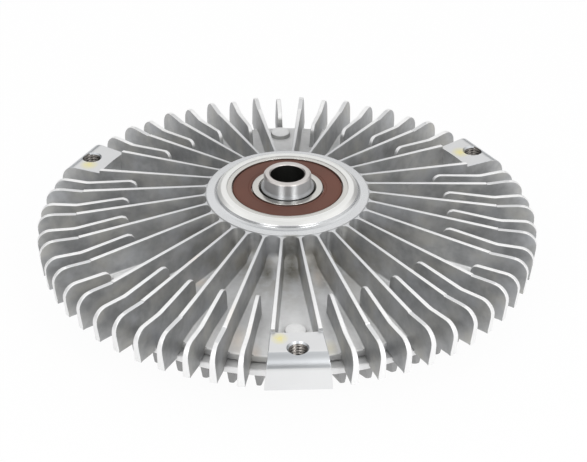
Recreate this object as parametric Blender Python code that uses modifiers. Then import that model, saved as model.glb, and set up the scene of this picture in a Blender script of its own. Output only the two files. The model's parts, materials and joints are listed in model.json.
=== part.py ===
"""Viscous fan clutch for an engine cooling fan, with its working parts inside.

It lies on the fins of its front cover, with the input shaft pointing up (+Z).
The origin is on the shaft's axis, in the plane that the cover's fins stand on.
One fan lug points along -Y. All sizes are in millimetres until they reach a mesh.
"""

import math

import bmesh
import bpy
from mathutils import Matrix, Vector

MM = 0.001

# Clearances
SEAT_GAP = 0.3  # between two pieces that seat on each other
FIT_GAP = 0.2  # round a ring or a shaft that is pressed in place
RUN_GAP = 0.35  # between pieces that turn past each other
BURIED = 1.0  # how far a joined form or a cutter reaches past the face that it crosses

# Rolling bearing, of the common 20 x 52 x 15 size
BEARING_BORE = 20.0
BEARING_OD = 52.0
RING_SPACE = (BEARING_OD - BEARING_BORE) / 2
BEARING_WIDTH = 0.9375 * RING_SPACE
INNER_RING_WALL = 0.3125 * RING_SPACE
OUTER_RING_WALL = 0.28125 * RING_SPACE
INNER_RING_OD = BEARING_BORE + 2 * INNER_RING_WALL
OUTER_RING_ID = BEARING_OD - 2 * OUTER_RING_WALL
PITCH_RADIUS = (INNER_RING_OD + OUTER_RING_ID) / 4
BALL_DIAMETER = 0.5953125 * RING_SPACE
BALL_COUNT = 7
GROOVE_PLAY = 0.22
BEARING_CHAMFER = 1.1
BEARING_EASE = 1.4  # the inner ring's chamfer at its bore
SEAL_THICKNESS = BEARING_WIDTH / 15
SEAL_RECESS = 1.4  # the seal's step into the outer ring
SEAL_LEDGE = 0.5  # its step into the inner ring
SEAL_SINK = 0.35  # the seal's face below the rings' faces
CAGE_WALL = 1.5
CAGE_MARGIN = 0.35  # cage end to seal

# Input shaft
STUB_RELIEF = 0.25  # the stub is turned down by this from the bearing's seat
STUB_WALL = 2.75
STUB_RADIUS = BEARING_BORE / 2 - STUB_RELIEF
STUB_HEIGHT = 6.4  # above the bearing's face
STUB_BORE_RADIUS = STUB_RADIUS - STUB_WALL
STUB_BORE_DEPTH = 17.0
STUB_CHAMFER = 0.6
STUB_FLARE = 1.35  # the flange at the stub's foot, over the inner ring's chamfer
STUB_FLARE_HEIGHT = 0.3
BORE_EASE = 0.5  # chamfer at the mouth of a bore or at the end of a seat
THREAD_HOLE_WALL = 2.75  # the thread's hole is smaller than the bore by this all round
THREAD_HOLE_RADIUS = STUB_BORE_RADIUS - THREAD_HOLE_WALL
THREAD_HOLE_DEPTH = 13.0
THREAD_HOLE_STEP = 1.5  # height of the cone between the bore and the threaded hole
SHAFT_SHOULDER = 2.6  # thickness of the collar under the bearing
SHAFT_COLLAR = 2.8  # how far the collar reaches out from the bearing's bore
SHAFT_COLLAR_RADIUS = BEARING_BORE / 2 + SHAFT_COLLAR
ROTOR_SEAT_STEP = 1.0  # the rotor's seat is larger than the bearing's by this all round
ROTOR_SEAT_RADIUS = BEARING_BORE / 2 + ROTOR_SEAT_STEP
ROTOR_HUB_WALL = 6.0
ROTOR_HUB_RADIUS = ROTOR_SEAT_RADIUS + ROTOR_HUB_WALL

# Radii of the rear housing, inwards from its fins
FIN_RADIUS = 103.5
FIN_FOOT_INSET = 1.1
FIN_FOOT_RADIUS = FIN_RADIUS - FIN_FOOT_INSET
LUG_HOLE_INSET = 7.5
LUG_HOLE_CIRCLE = FIN_RADIUS - LUG_HOLE_INSET
FIN_OVERHANG = 14.9  # from the disc's edge to the fins' outer edge
RIM_RADIUS = FIN_RADIUS - FIN_OVERHANG
KNEE_INSET = 1.6  # the fins' tops turn flat this far inside the disc's edge
KNEE_RADIUS = RIM_RADIUS - KNEE_INSET
LUG_INSET = 2.3
LUG_INNER = RIM_RADIUS - LUG_INSET
BOSS_FIN_INSET = 5.8
BOSS_FIN_INNER = RIM_RADIUS - BOSS_FIN_INSET
DISC_KNEE_INSET = 8.6
DISC_KNEE_RADIUS = RIM_RADIUS - DISC_KNEE_INSET
CHAMBER_INSET = 20.6
CHAMBER_RADIUS = RIM_RADIUS - CHAMBER_INSET
SHORT_FIN_LAP = 2.3  # the short fins start this far inside the chamber's wall
SHORT_FIN_INNER = CHAMBER_RADIUS - SHORT_FIN_LAP
SPIGOT_WALL = 3.6
SPIGOT_RADIUS = CHAMBER_RADIUS + SPIGOT_WALL
SCREW_INSET = 5.4  # from the spigot to the screws' circle
SCREW_CIRCLE = SPIGOT_RADIUS + SCREW_INSET

# Radii of the hub, outwards from its bearing
HUB_LIP_LAP = 0.6  # the staked lip reaches this far over the bearing's outer ring
HUB_LIP_RADIUS = BEARING_OD / 2 - HUB_LIP_LAP
HUB_FACE_WALL = 1.6
HUB_FACE_RADIUS = BEARING_OD / 2 + HUB_FACE_WALL
HUB_SHOULDER_WALL = 3.0  # to the steep step between the hub's face and its rim
HUB_SHOULDER_RADIUS = BEARING_OD / 2 + HUB_SHOULDER_WALL
HUB_STEP_WALL = 4.1
HUB_STEP_RADIUS = BEARING_OD / 2 + HUB_STEP_WALL
HUB_WALL = 7.7
HUB_RADIUS = BEARING_OD / 2 + HUB_WALL
HUB_EASE = 0.5

# Radii of the front cover
FLANGE_REACH = 3.8  # beyond the edge of the housing's disc
FLANGE_RADIUS = RIM_RADIUS + FLANGE_REACH
FLANGE_WIDTH = 3.9
COVER_SHOULDER_RADIUS = FLANGE_RADIUS - FLANGE_WIDTH
COVER_RECESS_RADIUS = SPIGOT_RADIUS + SEAT_GAP
COVER_DISH_INSET = 5.0  # from the screws' circle to where the floor turns up to the flange
COVER_DISH_RADIUS = SCREW_CIRCLE - COVER_DISH_INSET
PLATE_LEDGE = 1.0  # the reservoir is wider than the rotor's chamber by this all round
RESERVOIR_RADIUS = CHAMBER_RADIUS + PLATE_LEDGE
COVER_FIN_INSET = 0.4
COVER_FIN_TIP_RADIUS = FLANGE_RADIUS - COVER_FIN_INSET
COVER_FIN_SLOPE = 27.0  # the fins' free edges rise over this length to their tips
COVER_FIN_FLAT_RADIUS = COVER_FIN_TIP_RADIUS - COVER_FIN_SLOPE
COVER_SHORT_FIN_LENGTH = 38.0
COVER_SHORT_FIN_INNER = COVER_FIN_TIP_RADIUS - COVER_SHORT_FIN_LENGTH
COVER_FIN_INNER = 30.0

# Thicknesses and heights of the front cover
COVER_FIN_HEIGHT = 6.5
COVER_FLOOR = 3.0
RESERVOIR_DEPTH = 4.7
RESERVOIR_SLOPE = 3.0  # width of the slope at the foot of the reservoir's wall
FLANGE_THICKNESS = 3.0
COVER_FIN_PAIRS = 27
COVER_FIN_OFFSET = 4.28  # degrees from a lug to the next of the cover's fins
COVER_FIN_TIP_DROP = 5.2  # below the flange's lower face
COVER_FIN_LEAD = 1.5  # slant of a fin's inner end
COVER_FIN_ROUND = 1.6  # radius at its outer tip
COVER_FIN_TOP = 1.7
COVER_FIN_DRAFT = 0.15
COVER_BOSS_RADIUS = 7.5
COVER_BOSS_SINK = 2.4  # the spindle's boss below the plate's seat

# Separator plate, wiper and rotor
PLATE_THICKNESS = 1.0
PORT_CIRCLE = 30.0
PORT_RADIUS = 3.0
RETURN_INSET = 2.8
RETURN_CIRCLE = RESERVOIR_RADIUS - RETURN_INSET
RETURN_RADIUS = 1.0
RETURN_LEAD = 6.3  # degrees from the wiper to the return hole
ROTOR_CHANNEL = 3.6  # width of the channel round the rotor
ROTOR_RADIUS = CHAMBER_RADIUS - ROTOR_CHANNEL
ROTOR_WEB = 3.4
ROTOR_ROUND = 1.5
ROTOR_LIFT = 0.2  # above the housing's spigot face
LAND_COUNT = 2
LAND_BAND = 14.4  # from the rotor's edge to the middle of its inner land
LAND_START = ROTOR_RADIUS - LAND_BAND
LAND_PITCH = 7.6
LAND_WIDTH = 3.2
LAND_HEIGHT = 3.1
LAND_END_GAP = 0.6
WIPER_LENGTH = 9.0
WIPER_HEIGHT = 4.0
WIPER_TURN = 150  # degrees from the first lug to the wiper

# Rear housing
SPIGOT_LENGTH = 3.2
RIM_UNDERCUT = 1.4
RIM_EDGE = 1.7  # height of the disc's edge above the joint
DISC_KNEE_RISE = 5.6  # height of the disc's knee above the joint
HUB_FOOT_DROP = 10.0  # where the disc meets the hub, below the rim
HUB_WEB = 4.0  # wall between the bearing's lip and the rotor's chamber
BEARING_PROUD = 2.3  # the bearing's face above the hub's rim
BEARING_LIP = 2.0
LIP_RISE = 0.3  # the staked lip's top above the bearing's face
LIP_GAP = 0.12
CONE_WIDTH = 7.0  # clear space round the rotor's hub
CONE_RISE = 1.8

# Fins of the rear housing
FIN_COUNT = 60
LUG_COUNT = 3
FIN_ROOT_DROP = 1.4  # fin top at the hub
BELLY_RISE = 7.6  # where the outer edge is widest, above the joint
FOOT_SINK = 1.3  # the fins' feet below the joint
FIN_LEAN = 1.0  # the outer edge leans in by this from its belly to its top
TURNED_RISE = 0.8  # long fins are turned flat, this far above the lugs' faces
CAST_SINK = 0.3  # short fins are as cast, this far below them
TURNED_ROUND = 4.5
CAST_ROUND = 5.5
FIN_NOSE = 4.0  # length of the rounded inner end of a short fin
FIN_TOP = 1.5  # thickness at the hub end of the top edge
FIN_DRAFT = 0.085  # thickness gained for each millimetre down

# Fan lugs and cover screw bosses
LUG_RISE = 13.1  # the lugs' faces above the joint
LUG_INNER_WIDTH = 20.8
LUG_OUTER_WIDTH = 23.4
LUG_DRAFT = 0.09
LUG_ROUND = 6.0
LUG_DROP = 13.8  # the lug's upright outer face starts this far below its top
LUG_HOLE_RADIUS = 3.4
LUG_COUNTERSINK = 4.4
SCREW_COUNT = 6
SCREW_RADIUS = 2.5
SCREW_HOLE_GAP = 0.25
SCREW_HEAD_RADIUS = 4.25
SCREW_HEAD_HEIGHT = 4.5
SCREW_HEAD_GAP = 0.6
SCREW_GRIP = 6.0  # cover metal under the head
SCREW_THREAD = 5.4  # thread length in the housing
SCREW_END_GAP = 0.6
BOSS_RADIUS = 4.2
BOSS_EASE = 0.3
BOSS_RISE = 2.4  # the bosses' faces above the disc's knee

# Round seals
HOUSING_RING_THICKNESS = 1.4
SPINDLE_RING_THICKNESS = 0.9
RING_PLAY = 0.12

# Valve and bimetal
SPINDLE_RADIUS = 3.0
SPINDLE_NECK = 2.0
SPINDLE_HEAD = 0.4
SPINDLE_FOOT = 0.8  # the spindle's and the post's lower ends above the floor
ARM_THICKNESS = 0.8
ARM_HUB_RADIUS = 5.0
ARM_STRAIGHT = 4.0  # length of the arm between its hub and its bend
ARM_SLOPE = 3.0  # length of the bend for each millimetre that it rises
ARM_LIFT = 0.7  # above the cover's boss
ARM_WIDTH = 5.0
ARM_PAD_RADIUS = 5.0
ARM_REST_ANGLE = -90.0
COIL_STRIP = 0.8
COIL_HEIGHT = 4.4
COIL_FOOT = 1.0
COIL_START = 4.6
COIL_PITCH = 2.0
COIL_TURNS = 3.25
COIL_TANG = 0.2  # the inner end, short of the spindle's side
COIL_TAIL = 0.5  # the outer end, short of the post's side
SLOT_WIDTH = 1.5
SLOT_ROOF = 0.9  # the spindle's slot ends this far below the cover's face
ANCHOR_RADIUS = 16.0
ANCHOR_SIZE = 4.4

# Steps round the axis
CAST_STEPS = 60
RING_STEPS = 32
SMALL_STEPS = 14
HOLE_STEPS = 8

# Levels above the floor that the cover's fins stand on
COVER_OUTER_Z = COVER_FIN_HEIGHT
RESERVOIR_Z = COVER_OUTER_Z + COVER_FLOOR
PLATE_SEAT_Z = RESERVOIR_Z + RESERVOIR_DEPTH
PLATE_Z = PLATE_SEAT_Z + SEAT_GAP
PLATE_TOP_Z = PLATE_Z + PLATE_THICKNESS
SPIGOT_Z = PLATE_TOP_Z + SEAT_GAP
ROTOR_Z = SPIGOT_Z + ROTOR_LIFT
WEB_TOP_Z = ROTOR_Z + ROTOR_WEB
CEILING_Z = WEB_TOP_Z + LAND_HEIGHT + LAND_END_GAP
JOINT_Z = SPIGOT_Z + SPIGOT_LENGTH
FLANGE_TOP_Z = JOINT_Z - SEAT_GAP
FLANGE_Z = FLANGE_TOP_Z - FLANGE_THICKNESS
BEARING_Z = CEILING_Z + HUB_WEB + BEARING_LIP + FIT_GAP
BEARING_TOP_Z = BEARING_Z + BEARING_WIDTH
BEARING_MID_Z = BEARING_Z + BEARING_WIDTH / 2
LIP_Z = CEILING_Z + HUB_WEB
RIM_Z = BEARING_TOP_Z - BEARING_PROUD
RIM_EDGE_Z = JOINT_Z + RIM_EDGE
DISC_KNEE_Z = JOINT_Z + DISC_KNEE_RISE
BOSS_FACE_Z = DISC_KNEE_Z + BOSS_RISE
BELLY_Z = JOINT_Z + BELLY_RISE
FIN_FOOT_Z = JOINT_Z - FOOT_SINK
LUG_FACE_Z = JOINT_Z + LUG_RISE
TURNED_Z = LUG_FACE_Z + TURNED_RISE
CAST_Z = LUG_FACE_Z - CAST_SINK
SCREW_SEAT_Z = FLANGE_TOP_Z - SCREW_GRIP
BOSS_TOP_Z = PLATE_SEAT_Z - COVER_BOSS_SINK
ARM_Z = BOSS_TOP_Z + ARM_LIFT
PAD_Z = PLATE_Z - SEAT_GAP - ARM_THICKNESS
SPINDLE_BORE = SPINDLE_RADIUS + RUN_GAP

# Angles
FIN_PITCH = 2 * math.pi / FIN_COUNT
LUG_EVERY = FIN_COUNT // LUG_COUNT
LUG_ANGLE = -math.pi / 2


# Helpers


def clear_scene():
    for obj in list(bpy.data.objects):
        bpy.data.objects.remove(obj, do_unlink=True)


def new_collection(name, parent):
    collection = bpy.data.collections.new(name)
    parent.children.link(collection)
    return collection


def material(name, colour, roughness, metallic):
    mat = bpy.data.materials.new(name)
    mat.use_nodes = True
    shader = mat.node_tree.nodes["Principled BSDF"]
    shader.inputs["Base Color"].default_value = (*colour, 1)
    shader.inputs["Roughness"].default_value = roughness
    shader.inputs["Metallic"].default_value = metallic
    mat.diffuse_color = (*colour, 1)
    return mat


def add_object(name, mesh, mat, collection):
    obj = bpy.data.objects.new(name, mesh)
    collection.objects.link(obj)
    if mat is not None and not mesh.materials:
        mesh.materials.append(mat)
    return obj


def finish_mesh(name, bm):
    bmesh.ops.recalc_face_normals(bm, faces=bm.faces)
    mesh = bpy.data.meshes.new(name)
    bm.to_mesh(mesh)
    bm.free()
    mesh.shade_smooth()
    mesh.set_sharp_from_angle(angle=math.radians(30))
    return mesh


def rounded(corners, steps=3):
    """Points of an outline whose corners are (r, z) or (r, z, fillet radius)."""
    points = []
    count = len(corners)
    for i, corner in enumerate(corners):
        r, z = corner[:2]
        if len(corner) < 3:
            points.append((r, z))
            continue
        before = corners[i - 1]
        after = corners[(i + 1) % count]
        in_x, in_z = before[0] - r, before[1] - z
        out_x, out_z = after[0] - r, after[1] - z
        in_length = math.hypot(in_x, in_z)
        out_length = math.hypot(out_x, out_z)
        in_x, in_z = in_x / in_length, in_z / in_length
        out_x, out_z = out_x / out_length, out_z / out_length
        half = math.acos(max(-1, min(1, in_x * out_x + in_z * out_z))) / 2
        cut = min(corner[2] / math.tan(half), 0.45 * in_length, 0.45 * out_length)
        radius = cut * math.tan(half)
        middle_x, middle_z = in_x + out_x, in_z + out_z
        middle = math.hypot(middle_x, middle_z)
        reach = radius / math.sin(half)
        centre_x = r + middle_x / middle * reach
        centre_z = z + middle_z / middle * reach
        start = math.atan2(z + in_z * cut - centre_z, r + in_x * cut - centre_x)
        end = math.atan2(z + out_z * cut - centre_z, r + out_x * cut - centre_x)
        sweep = (end - start + math.pi) % (2 * math.pi) - math.pi
        for step in range(steps + 1):
            angle = start + sweep * step / steps
            points.append(
                (centre_x + radius * math.cos(angle), centre_z + radius * math.sin(angle))
            )
    return points


def turned(name, profile, mat, collection, steps, closed=True, start=0.0):
    """A turned piece: the profile runs down its outer side, and back up its bore."""
    bm = bmesh.new()
    turn = at_angle(start)
    verts = [bm.verts.new(turn @ Vector((r * MM, 0, z * MM))) for r, z in profile]
    for first, second in zip(verts, verts[1:]):
        bm.edges.new((first, second))
    if closed:
        bm.edges.new((verts[-1], verts[0]))
    mesh = bpy.data.meshes.new(name)
    bm.to_mesh(mesh)
    bm.free()
    obj = add_object(name, mesh, mat, collection)
    screw = obj.modifiers.new("turn", "SCREW")
    screw.steps = steps
    screw.render_steps = steps
    screw.use_merge_vertices = True
    screw.merge_threshold = 0.00001
    screw.use_smooth_shade = True
    return obj


def boolean(obj, operation, tool):
    """Join or cut with one object, or with all the objects of a collection."""
    modifier = obj.modifiers.new(f"{operation.lower()} {tool.name}", "BOOLEAN")
    modifier.operation = operation
    modifier.solver = "EXACT"
    if isinstance(tool, bpy.types.Collection):
        modifier.operand_type = "COLLECTION"
        modifier.collection = tool
    else:
        modifier.object = tool


def make_helper(obj):
    obj.hide_render = True
    obj.display_type = "WIRE"
    return obj


def at_angle(angle):
    return Matrix.Rotation(angle, 4, "Z")


def turned_ring(name, profile, radius, count, tools, steps):
    """A collection of equal turned cutters or bosses, spread evenly round a circle."""
    group = new_collection(name, tools)
    for x, y in on_circle(radius, count):
        piece = turned(name, profile, None, group, steps, closed=False)
        piece.location = (x * MM, y * MM, 0)
        make_helper(piece)
    return group


def on_circle(radius, count, start=LUG_ANGLE):
    """(x, y) of places spread evenly round a circle."""
    return [
        (
            radius * math.cos(start + 2 * math.pi * i / count),
            radius * math.sin(start + 2 * math.pi * i / count),
        )
        for i in range(count)
    ]


def peg(top, bottom, radius, chamfer=0.0):
    """Profile of a plain round peg, from the axis at its top to the axis at its foot."""
    points = [(0, top), (radius - chamfer, top)]
    if chamfer:
        points.append((radius, top - chamfer))
    return points + [(radius, bottom), (0, bottom)]


def add_fin(bm, outline, half_width, angle):
    """One radial fin: its side outline in (r, z), spread to a drafted width."""
    sides = []
    for side in (1, -1):
        sides.append(
            [bm.verts.new((r * MM, side * half_width(r, z) * MM, z * MM)) for r, z in outline]
        )
    left, right = sides
    faces = [bm.faces.new(left), bm.faces.new(reversed(right))]
    for i in range(len(outline)):
        j = (i + 1) % len(outline)
        faces.append(bm.faces.new((left[i], right[i], right[j], left[j])))
    bmesh.ops.transform(bm, matrix=at_angle(angle), verts=left + right)
    bmesh.ops.connect_verts_nonplanar(bm, angle_limit=math.radians(1), faces=faces[:2])


# Rear housing


def disc_top(r):
    """Height of the housing's disc, between the fins."""
    if r <= DISC_KNEE_RADIUS:
        share = (r - HUB_RADIUS) / (DISC_KNEE_RADIUS - HUB_RADIUS)
        top = RIM_Z - HUB_FOOT_DROP
        return top - (top - DISC_KNEE_Z) * share
    share = (r - DISC_KNEE_RADIUS) / (RIM_RADIUS - DISC_KNEE_RADIUS)
    return DISC_KNEE_Z - (DISC_KNEE_Z - RIM_EDGE_Z) * share


def fin_top(r):
    """Height of the cast slope that the fins' tops follow, from the hub to the knee."""
    share = (r - HUB_RADIUS) / (KNEE_RADIUS - HUB_RADIUS)
    top = RIM_Z - FIN_ROOT_DROP
    return top - (top - TURNED_Z) * share


def fin_outer_edge(top_z, corner):
    """Corners down a fin's outer end, and back in under it to clear the cover's flange."""
    inside = FLANGE_RADIUS + 2 * SEAT_GAP
    return [
        (FIN_RADIUS - FIN_LEAN, top_z, corner),
        (FIN_RADIUS, BELLY_Z),
        (FIN_FOOT_RADIUS, FIN_FOOT_Z),
        (inside, FIN_FOOT_Z),
        (inside, JOINT_Z),
        (RIM_RADIUS - RIM_UNDERCUT, JOINT_Z + BURIED / 2),
    ]


def long_fin_outline():
    inner = HUB_RADIUS - BURIED
    corners = [
        (inner, fin_top(HUB_RADIUS)),
        (HUB_RADIUS, fin_top(HUB_RADIUS)),
        (KNEE_RADIUS, TURNED_Z),
        *fin_outer_edge(TURNED_Z, TURNED_ROUND),
        (DISC_KNEE_RADIUS, DISC_KNEE_Z - BURIED),
        (inner, RIM_Z - HUB_FOOT_DROP - BURIED),
    ]
    return rounded(corners, 2)


def lug_fin_outline():
    """A long fin that runs into a lug and ends there."""
    inner = HUB_RADIUS - BURIED
    outer = LUG_INNER + BURIED / 2
    return [
        (inner, fin_top(HUB_RADIUS)),
        (HUB_RADIUS, fin_top(HUB_RADIUS)),
        (outer, fin_top(outer)),
        (outer, disc_top(outer) - BURIED / 2),
        (DISC_KNEE_RADIUS, DISC_KNEE_Z - BURIED),
        (inner, RIM_Z - HUB_FOOT_DROP - BURIED),
    ]


def short_fin_outline(inner):
    start = min(inner + FIN_NOSE, KNEE_RADIUS - FIN_NOSE / 2)
    foot = [(DISC_KNEE_RADIUS, DISC_KNEE_Z - BURIED)]
    if inner > DISC_KNEE_RADIUS:
        foot = []
    corners = [
        (inner, fin_top(start), FIN_NOSE),
        (start, fin_top(start)),
        (KNEE_RADIUS + BURIED, CAST_Z),
        *fin_outer_edge(CAST_Z, CAST_ROUND),
        *foot,
        (inner, disc_top(inner) - BURIED),
    ]
    return rounded(corners, 2)


def fin_half_width(r, z):
    return (FIN_TOP + FIN_DRAFT * (RIM_Z - FIN_ROOT_DROP - z)) / 2


def housing_fins(collection):
    """All the cast fins: long ones from the hub, short ones between, none at the lugs."""
    bm = bmesh.new()
    long_fin = long_fin_outline()
    lug_fin = lug_fin_outline()
    short_fin = short_fin_outline(SHORT_FIN_INNER)
    boss_fin = short_fin_outline(BOSS_FIN_INNER)
    for i in range(FIN_COUNT):
        place = i % LUG_EVERY
        if place == 0:
            continue
        if place in (1, LUG_EVERY - 1):
            outline = lug_fin
        elif place % 2:
            outline = long_fin
        elif place == LUG_EVERY // 2:
            outline = boss_fin
        else:
            outline = short_fin
        add_fin(bm, outline, fin_half_width, LUG_ANGLE + i * FIN_PITCH)
    return make_helper(add_object("fins", finish_mesh("fins", bm), None, collection))


def lug_half_width(r, z):
    share = (r - LUG_INNER) / (FIN_RADIUS - LUG_INNER)
    width = LUG_INNER_WIDTH + (LUG_OUTER_WIDTH - LUG_INNER_WIDTH) * share
    return width / 2 + LUG_DRAFT * (LUG_FACE_Z - z)


def fan_lugs(collection):
    """The blocks that carry the fan, with a rounded outer top edge."""
    inside = FLANGE_RADIUS + SEAT_GAP + BURIED / 2
    outline = rounded(
        [
            (LUG_INNER, LUG_FACE_Z),
            (FIN_RADIUS, LUG_FACE_Z, LUG_ROUND),
            (FIN_RADIUS, LUG_FACE_Z - LUG_DROP),
            (FIN_FOOT_RADIUS, FIN_FOOT_Z),
            (inside, FIN_FOOT_Z),
            (inside, JOINT_Z),
            (LUG_INNER, JOINT_Z + BURIED / 2),
        ],
        4,
    )
    bm = bmesh.new()
    for i in range(LUG_COUNT):
        add_fin(bm, outline, lug_half_width, LUG_ANGLE + i * LUG_EVERY * FIN_PITCH)
    return make_helper(add_object("lugs", finish_mesh("lugs", bm), None, collection))


def milled_faces(collection):
    """Blocks of air over the lugs: the lugs and the fins that run into them are milled."""
    inner = LUG_INNER - SEAT_GAP
    length = FIN_RADIUS + BURIED - inner
    height = RIM_Z - LUG_FACE_Z
    middle = Vector((inner + length / 2, 0, LUG_FACE_Z + height / 2)) * MM
    size = Matrix.Diagonal((length * MM, LUG_OUTER_WIDTH * MM, height * MM, 1))
    bm = bmesh.new()
    for i in range(LUG_COUNT):
        place = at_angle(LUG_ANGLE + i * LUG_EVERY * FIN_PITCH) @ Matrix.Translation(middle)
        bmesh.ops.create_cube(bm, size=1, matrix=place @ size)
    return make_helper(add_object("milled", finish_mesh("milled", bm), None, collection))


def screw_bosses(tools):
    profile = peg(BOSS_FACE_Z, CEILING_Z + BURIED, BOSS_RADIUS, BOSS_EASE)
    return turned_ring("bosses", profile, SCREW_CIRCLE, SCREW_COUNT, tools, SMALL_STEPS)


def lug_holes(tools):
    """Tapping holes for the fan's screws, countersunk at the lug's face."""
    flare = LUG_COUNTERSINK - LUG_HOLE_RADIUS
    profile = [
        (0, LUG_FACE_Z + BURIED),
        (LUG_COUNTERSINK + BURIED, LUG_FACE_Z + BURIED),
        (LUG_HOLE_RADIUS, LUG_FACE_Z - flare),
        (LUG_HOLE_RADIUS, FIN_FOOT_Z - BURIED),
        (0, FIN_FOOT_Z - BURIED),
    ]
    return turned_ring("lug_holes", profile, LUG_HOLE_CIRCLE, LUG_COUNT, tools, 2 * HOLE_STEPS)


def tapped_holes(tools):
    """Blind holes that the cover's screws go into, each under a boss."""
    radius = SCREW_RADIUS + SCREW_HOLE_GAP
    profile = peg(JOINT_Z + SCREW_THREAD + SCREW_END_GAP, JOINT_Z - BURIED, radius)
    return turned_ring("tapped_holes", profile, SCREW_CIRCLE, SCREW_COUNT, tools, HOLE_STEPS)


def ceiling_ridges():
    """The chamber's ceiling, outwards, with a ridge outside each of the rotor's lands."""
    foot = CEILING_Z - LAND_HEIGHT
    points = []
    for i in range(LAND_COUNT):
        middle = LAND_START + LAND_PITCH * (i + 0.5)
        inner = middle - LAND_WIDTH / 2
        outer = middle + LAND_WIDTH / 2
        points += [(inner, CEILING_Z), (inner, foot), (outer, foot), (outer, CEILING_Z)]
    return points


def chamber(collection):
    """The hollow of the housing: the bearing's seat, then the rotor's chamber."""
    seat = BEARING_OD / 2 + FIT_GAP
    lip = BEARING_OD / 2 - BEARING_CHAMFER + LIP_GAP
    cone = LAND_START - LAND_WIDTH
    profile = [
        (0, BEARING_TOP_Z + BURIED),
        (lip, BEARING_TOP_Z + BURIED),
        (lip, BEARING_TOP_Z + LIP_GAP),
        (seat, BEARING_TOP_Z - BEARING_CHAMFER + LIP_GAP),
        (seat, BEARING_Z - FIT_GAP),
        (OUTER_RING_ID / 2, BEARING_Z - FIT_GAP),
        (OUTER_RING_ID / 2, LIP_Z),
        (ROTOR_HUB_RADIUS + CONE_WIDTH, LIP_Z),
        (cone - CONE_RISE / 2, CEILING_Z + CONE_RISE),
        (cone, CEILING_Z),
        *ceiling_ridges(),
        (CHAMBER_RADIUS, CEILING_Z),
        (CHAMBER_RADIUS, SPIGOT_Z - BURIED),
        (0, SPIGOT_Z - BURIED),
    ]
    return make_helper(turned("chamber", profile, None, collection, RING_STEPS, closed=False))


def rear_housing(mat, collection, tools):
    """The finned casting that carries the fan, with the bearing in its hub."""
    profile = [
        (0, BEARING_TOP_Z + LIP_RISE),
        (HUB_LIP_RADIUS, BEARING_TOP_Z + LIP_RISE),
        (HUB_FACE_RADIUS, BEARING_TOP_Z),
        (HUB_SHOULDER_RADIUS, RIM_Z + 3 * HUB_EASE),
        (HUB_SHOULDER_RADIUS + HUB_EASE, RIM_Z + HUB_EASE),
        (HUB_STEP_RADIUS, RIM_Z),
        (HUB_RADIUS - HUB_EASE, RIM_Z),
        (HUB_RADIUS, RIM_Z - HUB_EASE),
        (HUB_RADIUS, RIM_Z - HUB_FOOT_DROP),
        (DISC_KNEE_RADIUS, DISC_KNEE_Z),
        (RIM_RADIUS, RIM_EDGE_Z),
        (RIM_RADIUS - RIM_UNDERCUT, JOINT_Z),
        (SPIGOT_RADIUS, JOINT_Z),
        (SPIGOT_RADIUS, SPIGOT_Z),
        (0, SPIGOT_Z),
    ]
    obj = turned("rear_housing", profile, mat, collection, CAST_STEPS, closed=False)
    boolean(obj, "UNION", housing_fins(tools))
    boolean(obj, "UNION", fan_lugs(tools))
    boolean(obj, "UNION", screw_bosses(tools))
    boolean(obj, "DIFFERENCE", milled_faces(tools))
    boolean(obj, "DIFFERENCE", chamber(tools))
    boolean(obj, "DIFFERENCE", lug_holes(tools))
    boolean(obj, "DIFFERENCE", tapped_holes(tools))
    return obj


# Front cover


def cover_underside(r):
    """Height of the cover's outer face, between its fins."""
    points = [
        (0, COVER_OUTER_Z),
        (COVER_DISH_RADIUS, COVER_OUTER_Z),
        (COVER_SHOULDER_RADIUS, FLANGE_Z),
        (FLANGE_RADIUS, FLANGE_Z),
    ]
    for (r0, z0), (r1, z1) in zip(points, points[1:]):
        if r <= r1:
            break
    return z0 + (z1 - z0) * (r - r0) / (r1 - r0)


def cover_fin_edge(r):
    """Height of a cover fin's free edge."""
    share = (r - COVER_FIN_FLAT_RADIUS) / (COVER_FIN_TIP_RADIUS - COVER_FIN_FLAT_RADIUS)
    return max(0.0, (FLANGE_Z - COVER_FIN_TIP_DROP) * share)


def cover_fin_outline(inner):
    tip = COVER_FIN_TIP_RADIUS
    corners = [
        (inner, cover_underside(inner) + BURIED),
        (inner + COVER_FIN_LEAD, 0),
        (COVER_FIN_FLAT_RADIUS, 0),
        (tip, cover_fin_edge(tip), COVER_FIN_ROUND),
        (tip, FLANGE_Z + BURIED),
        (COVER_SHOULDER_RADIUS, FLANGE_Z + BURIED),
        (COVER_DISH_RADIUS, COVER_OUTER_Z + BURIED),
    ]
    return rounded(corners, 1)


def cover_fin_half_width(r, z):
    return COVER_FIN_TOP / 2 + COVER_FIN_DRAFT * (z - cover_fin_edge(r))


def cover_fins(collection):
    bm = bmesh.new()
    long_fin = cover_fin_outline(COVER_FIN_INNER)
    short_fin = cover_fin_outline(COVER_SHORT_FIN_INNER)
    count = 2 * COVER_FIN_PAIRS
    for i in range(count):
        outline = short_fin if i % 2 else long_fin
        angle = LUG_ANGLE + math.radians(COVER_FIN_OFFSET) + 2 * math.pi * i / count
        add_fin(bm, outline, cover_fin_half_width, angle)
    return make_helper(add_object("cover_fins", finish_mesh("cover_fins", bm), None, collection))


def screw_clearances(tools):
    """Stepped holes for the cover's screws, wide enough below for their heads."""
    hole = SCREW_RADIUS + SCREW_HOLE_GAP
    head = SCREW_HEAD_RADIUS + SCREW_HEAD_GAP
    profile = [
        (0, FLANGE_TOP_Z + BURIED),
        (hole, FLANGE_TOP_Z + BURIED),
        (hole, SCREW_SEAT_Z),
        (head, SCREW_SEAT_Z),
        (head, -BURIED),
        (0, -BURIED),
    ]
    return turned_ring("screw_holes", profile, SCREW_CIRCLE, SCREW_COUNT, tools, HOLE_STEPS)


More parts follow.
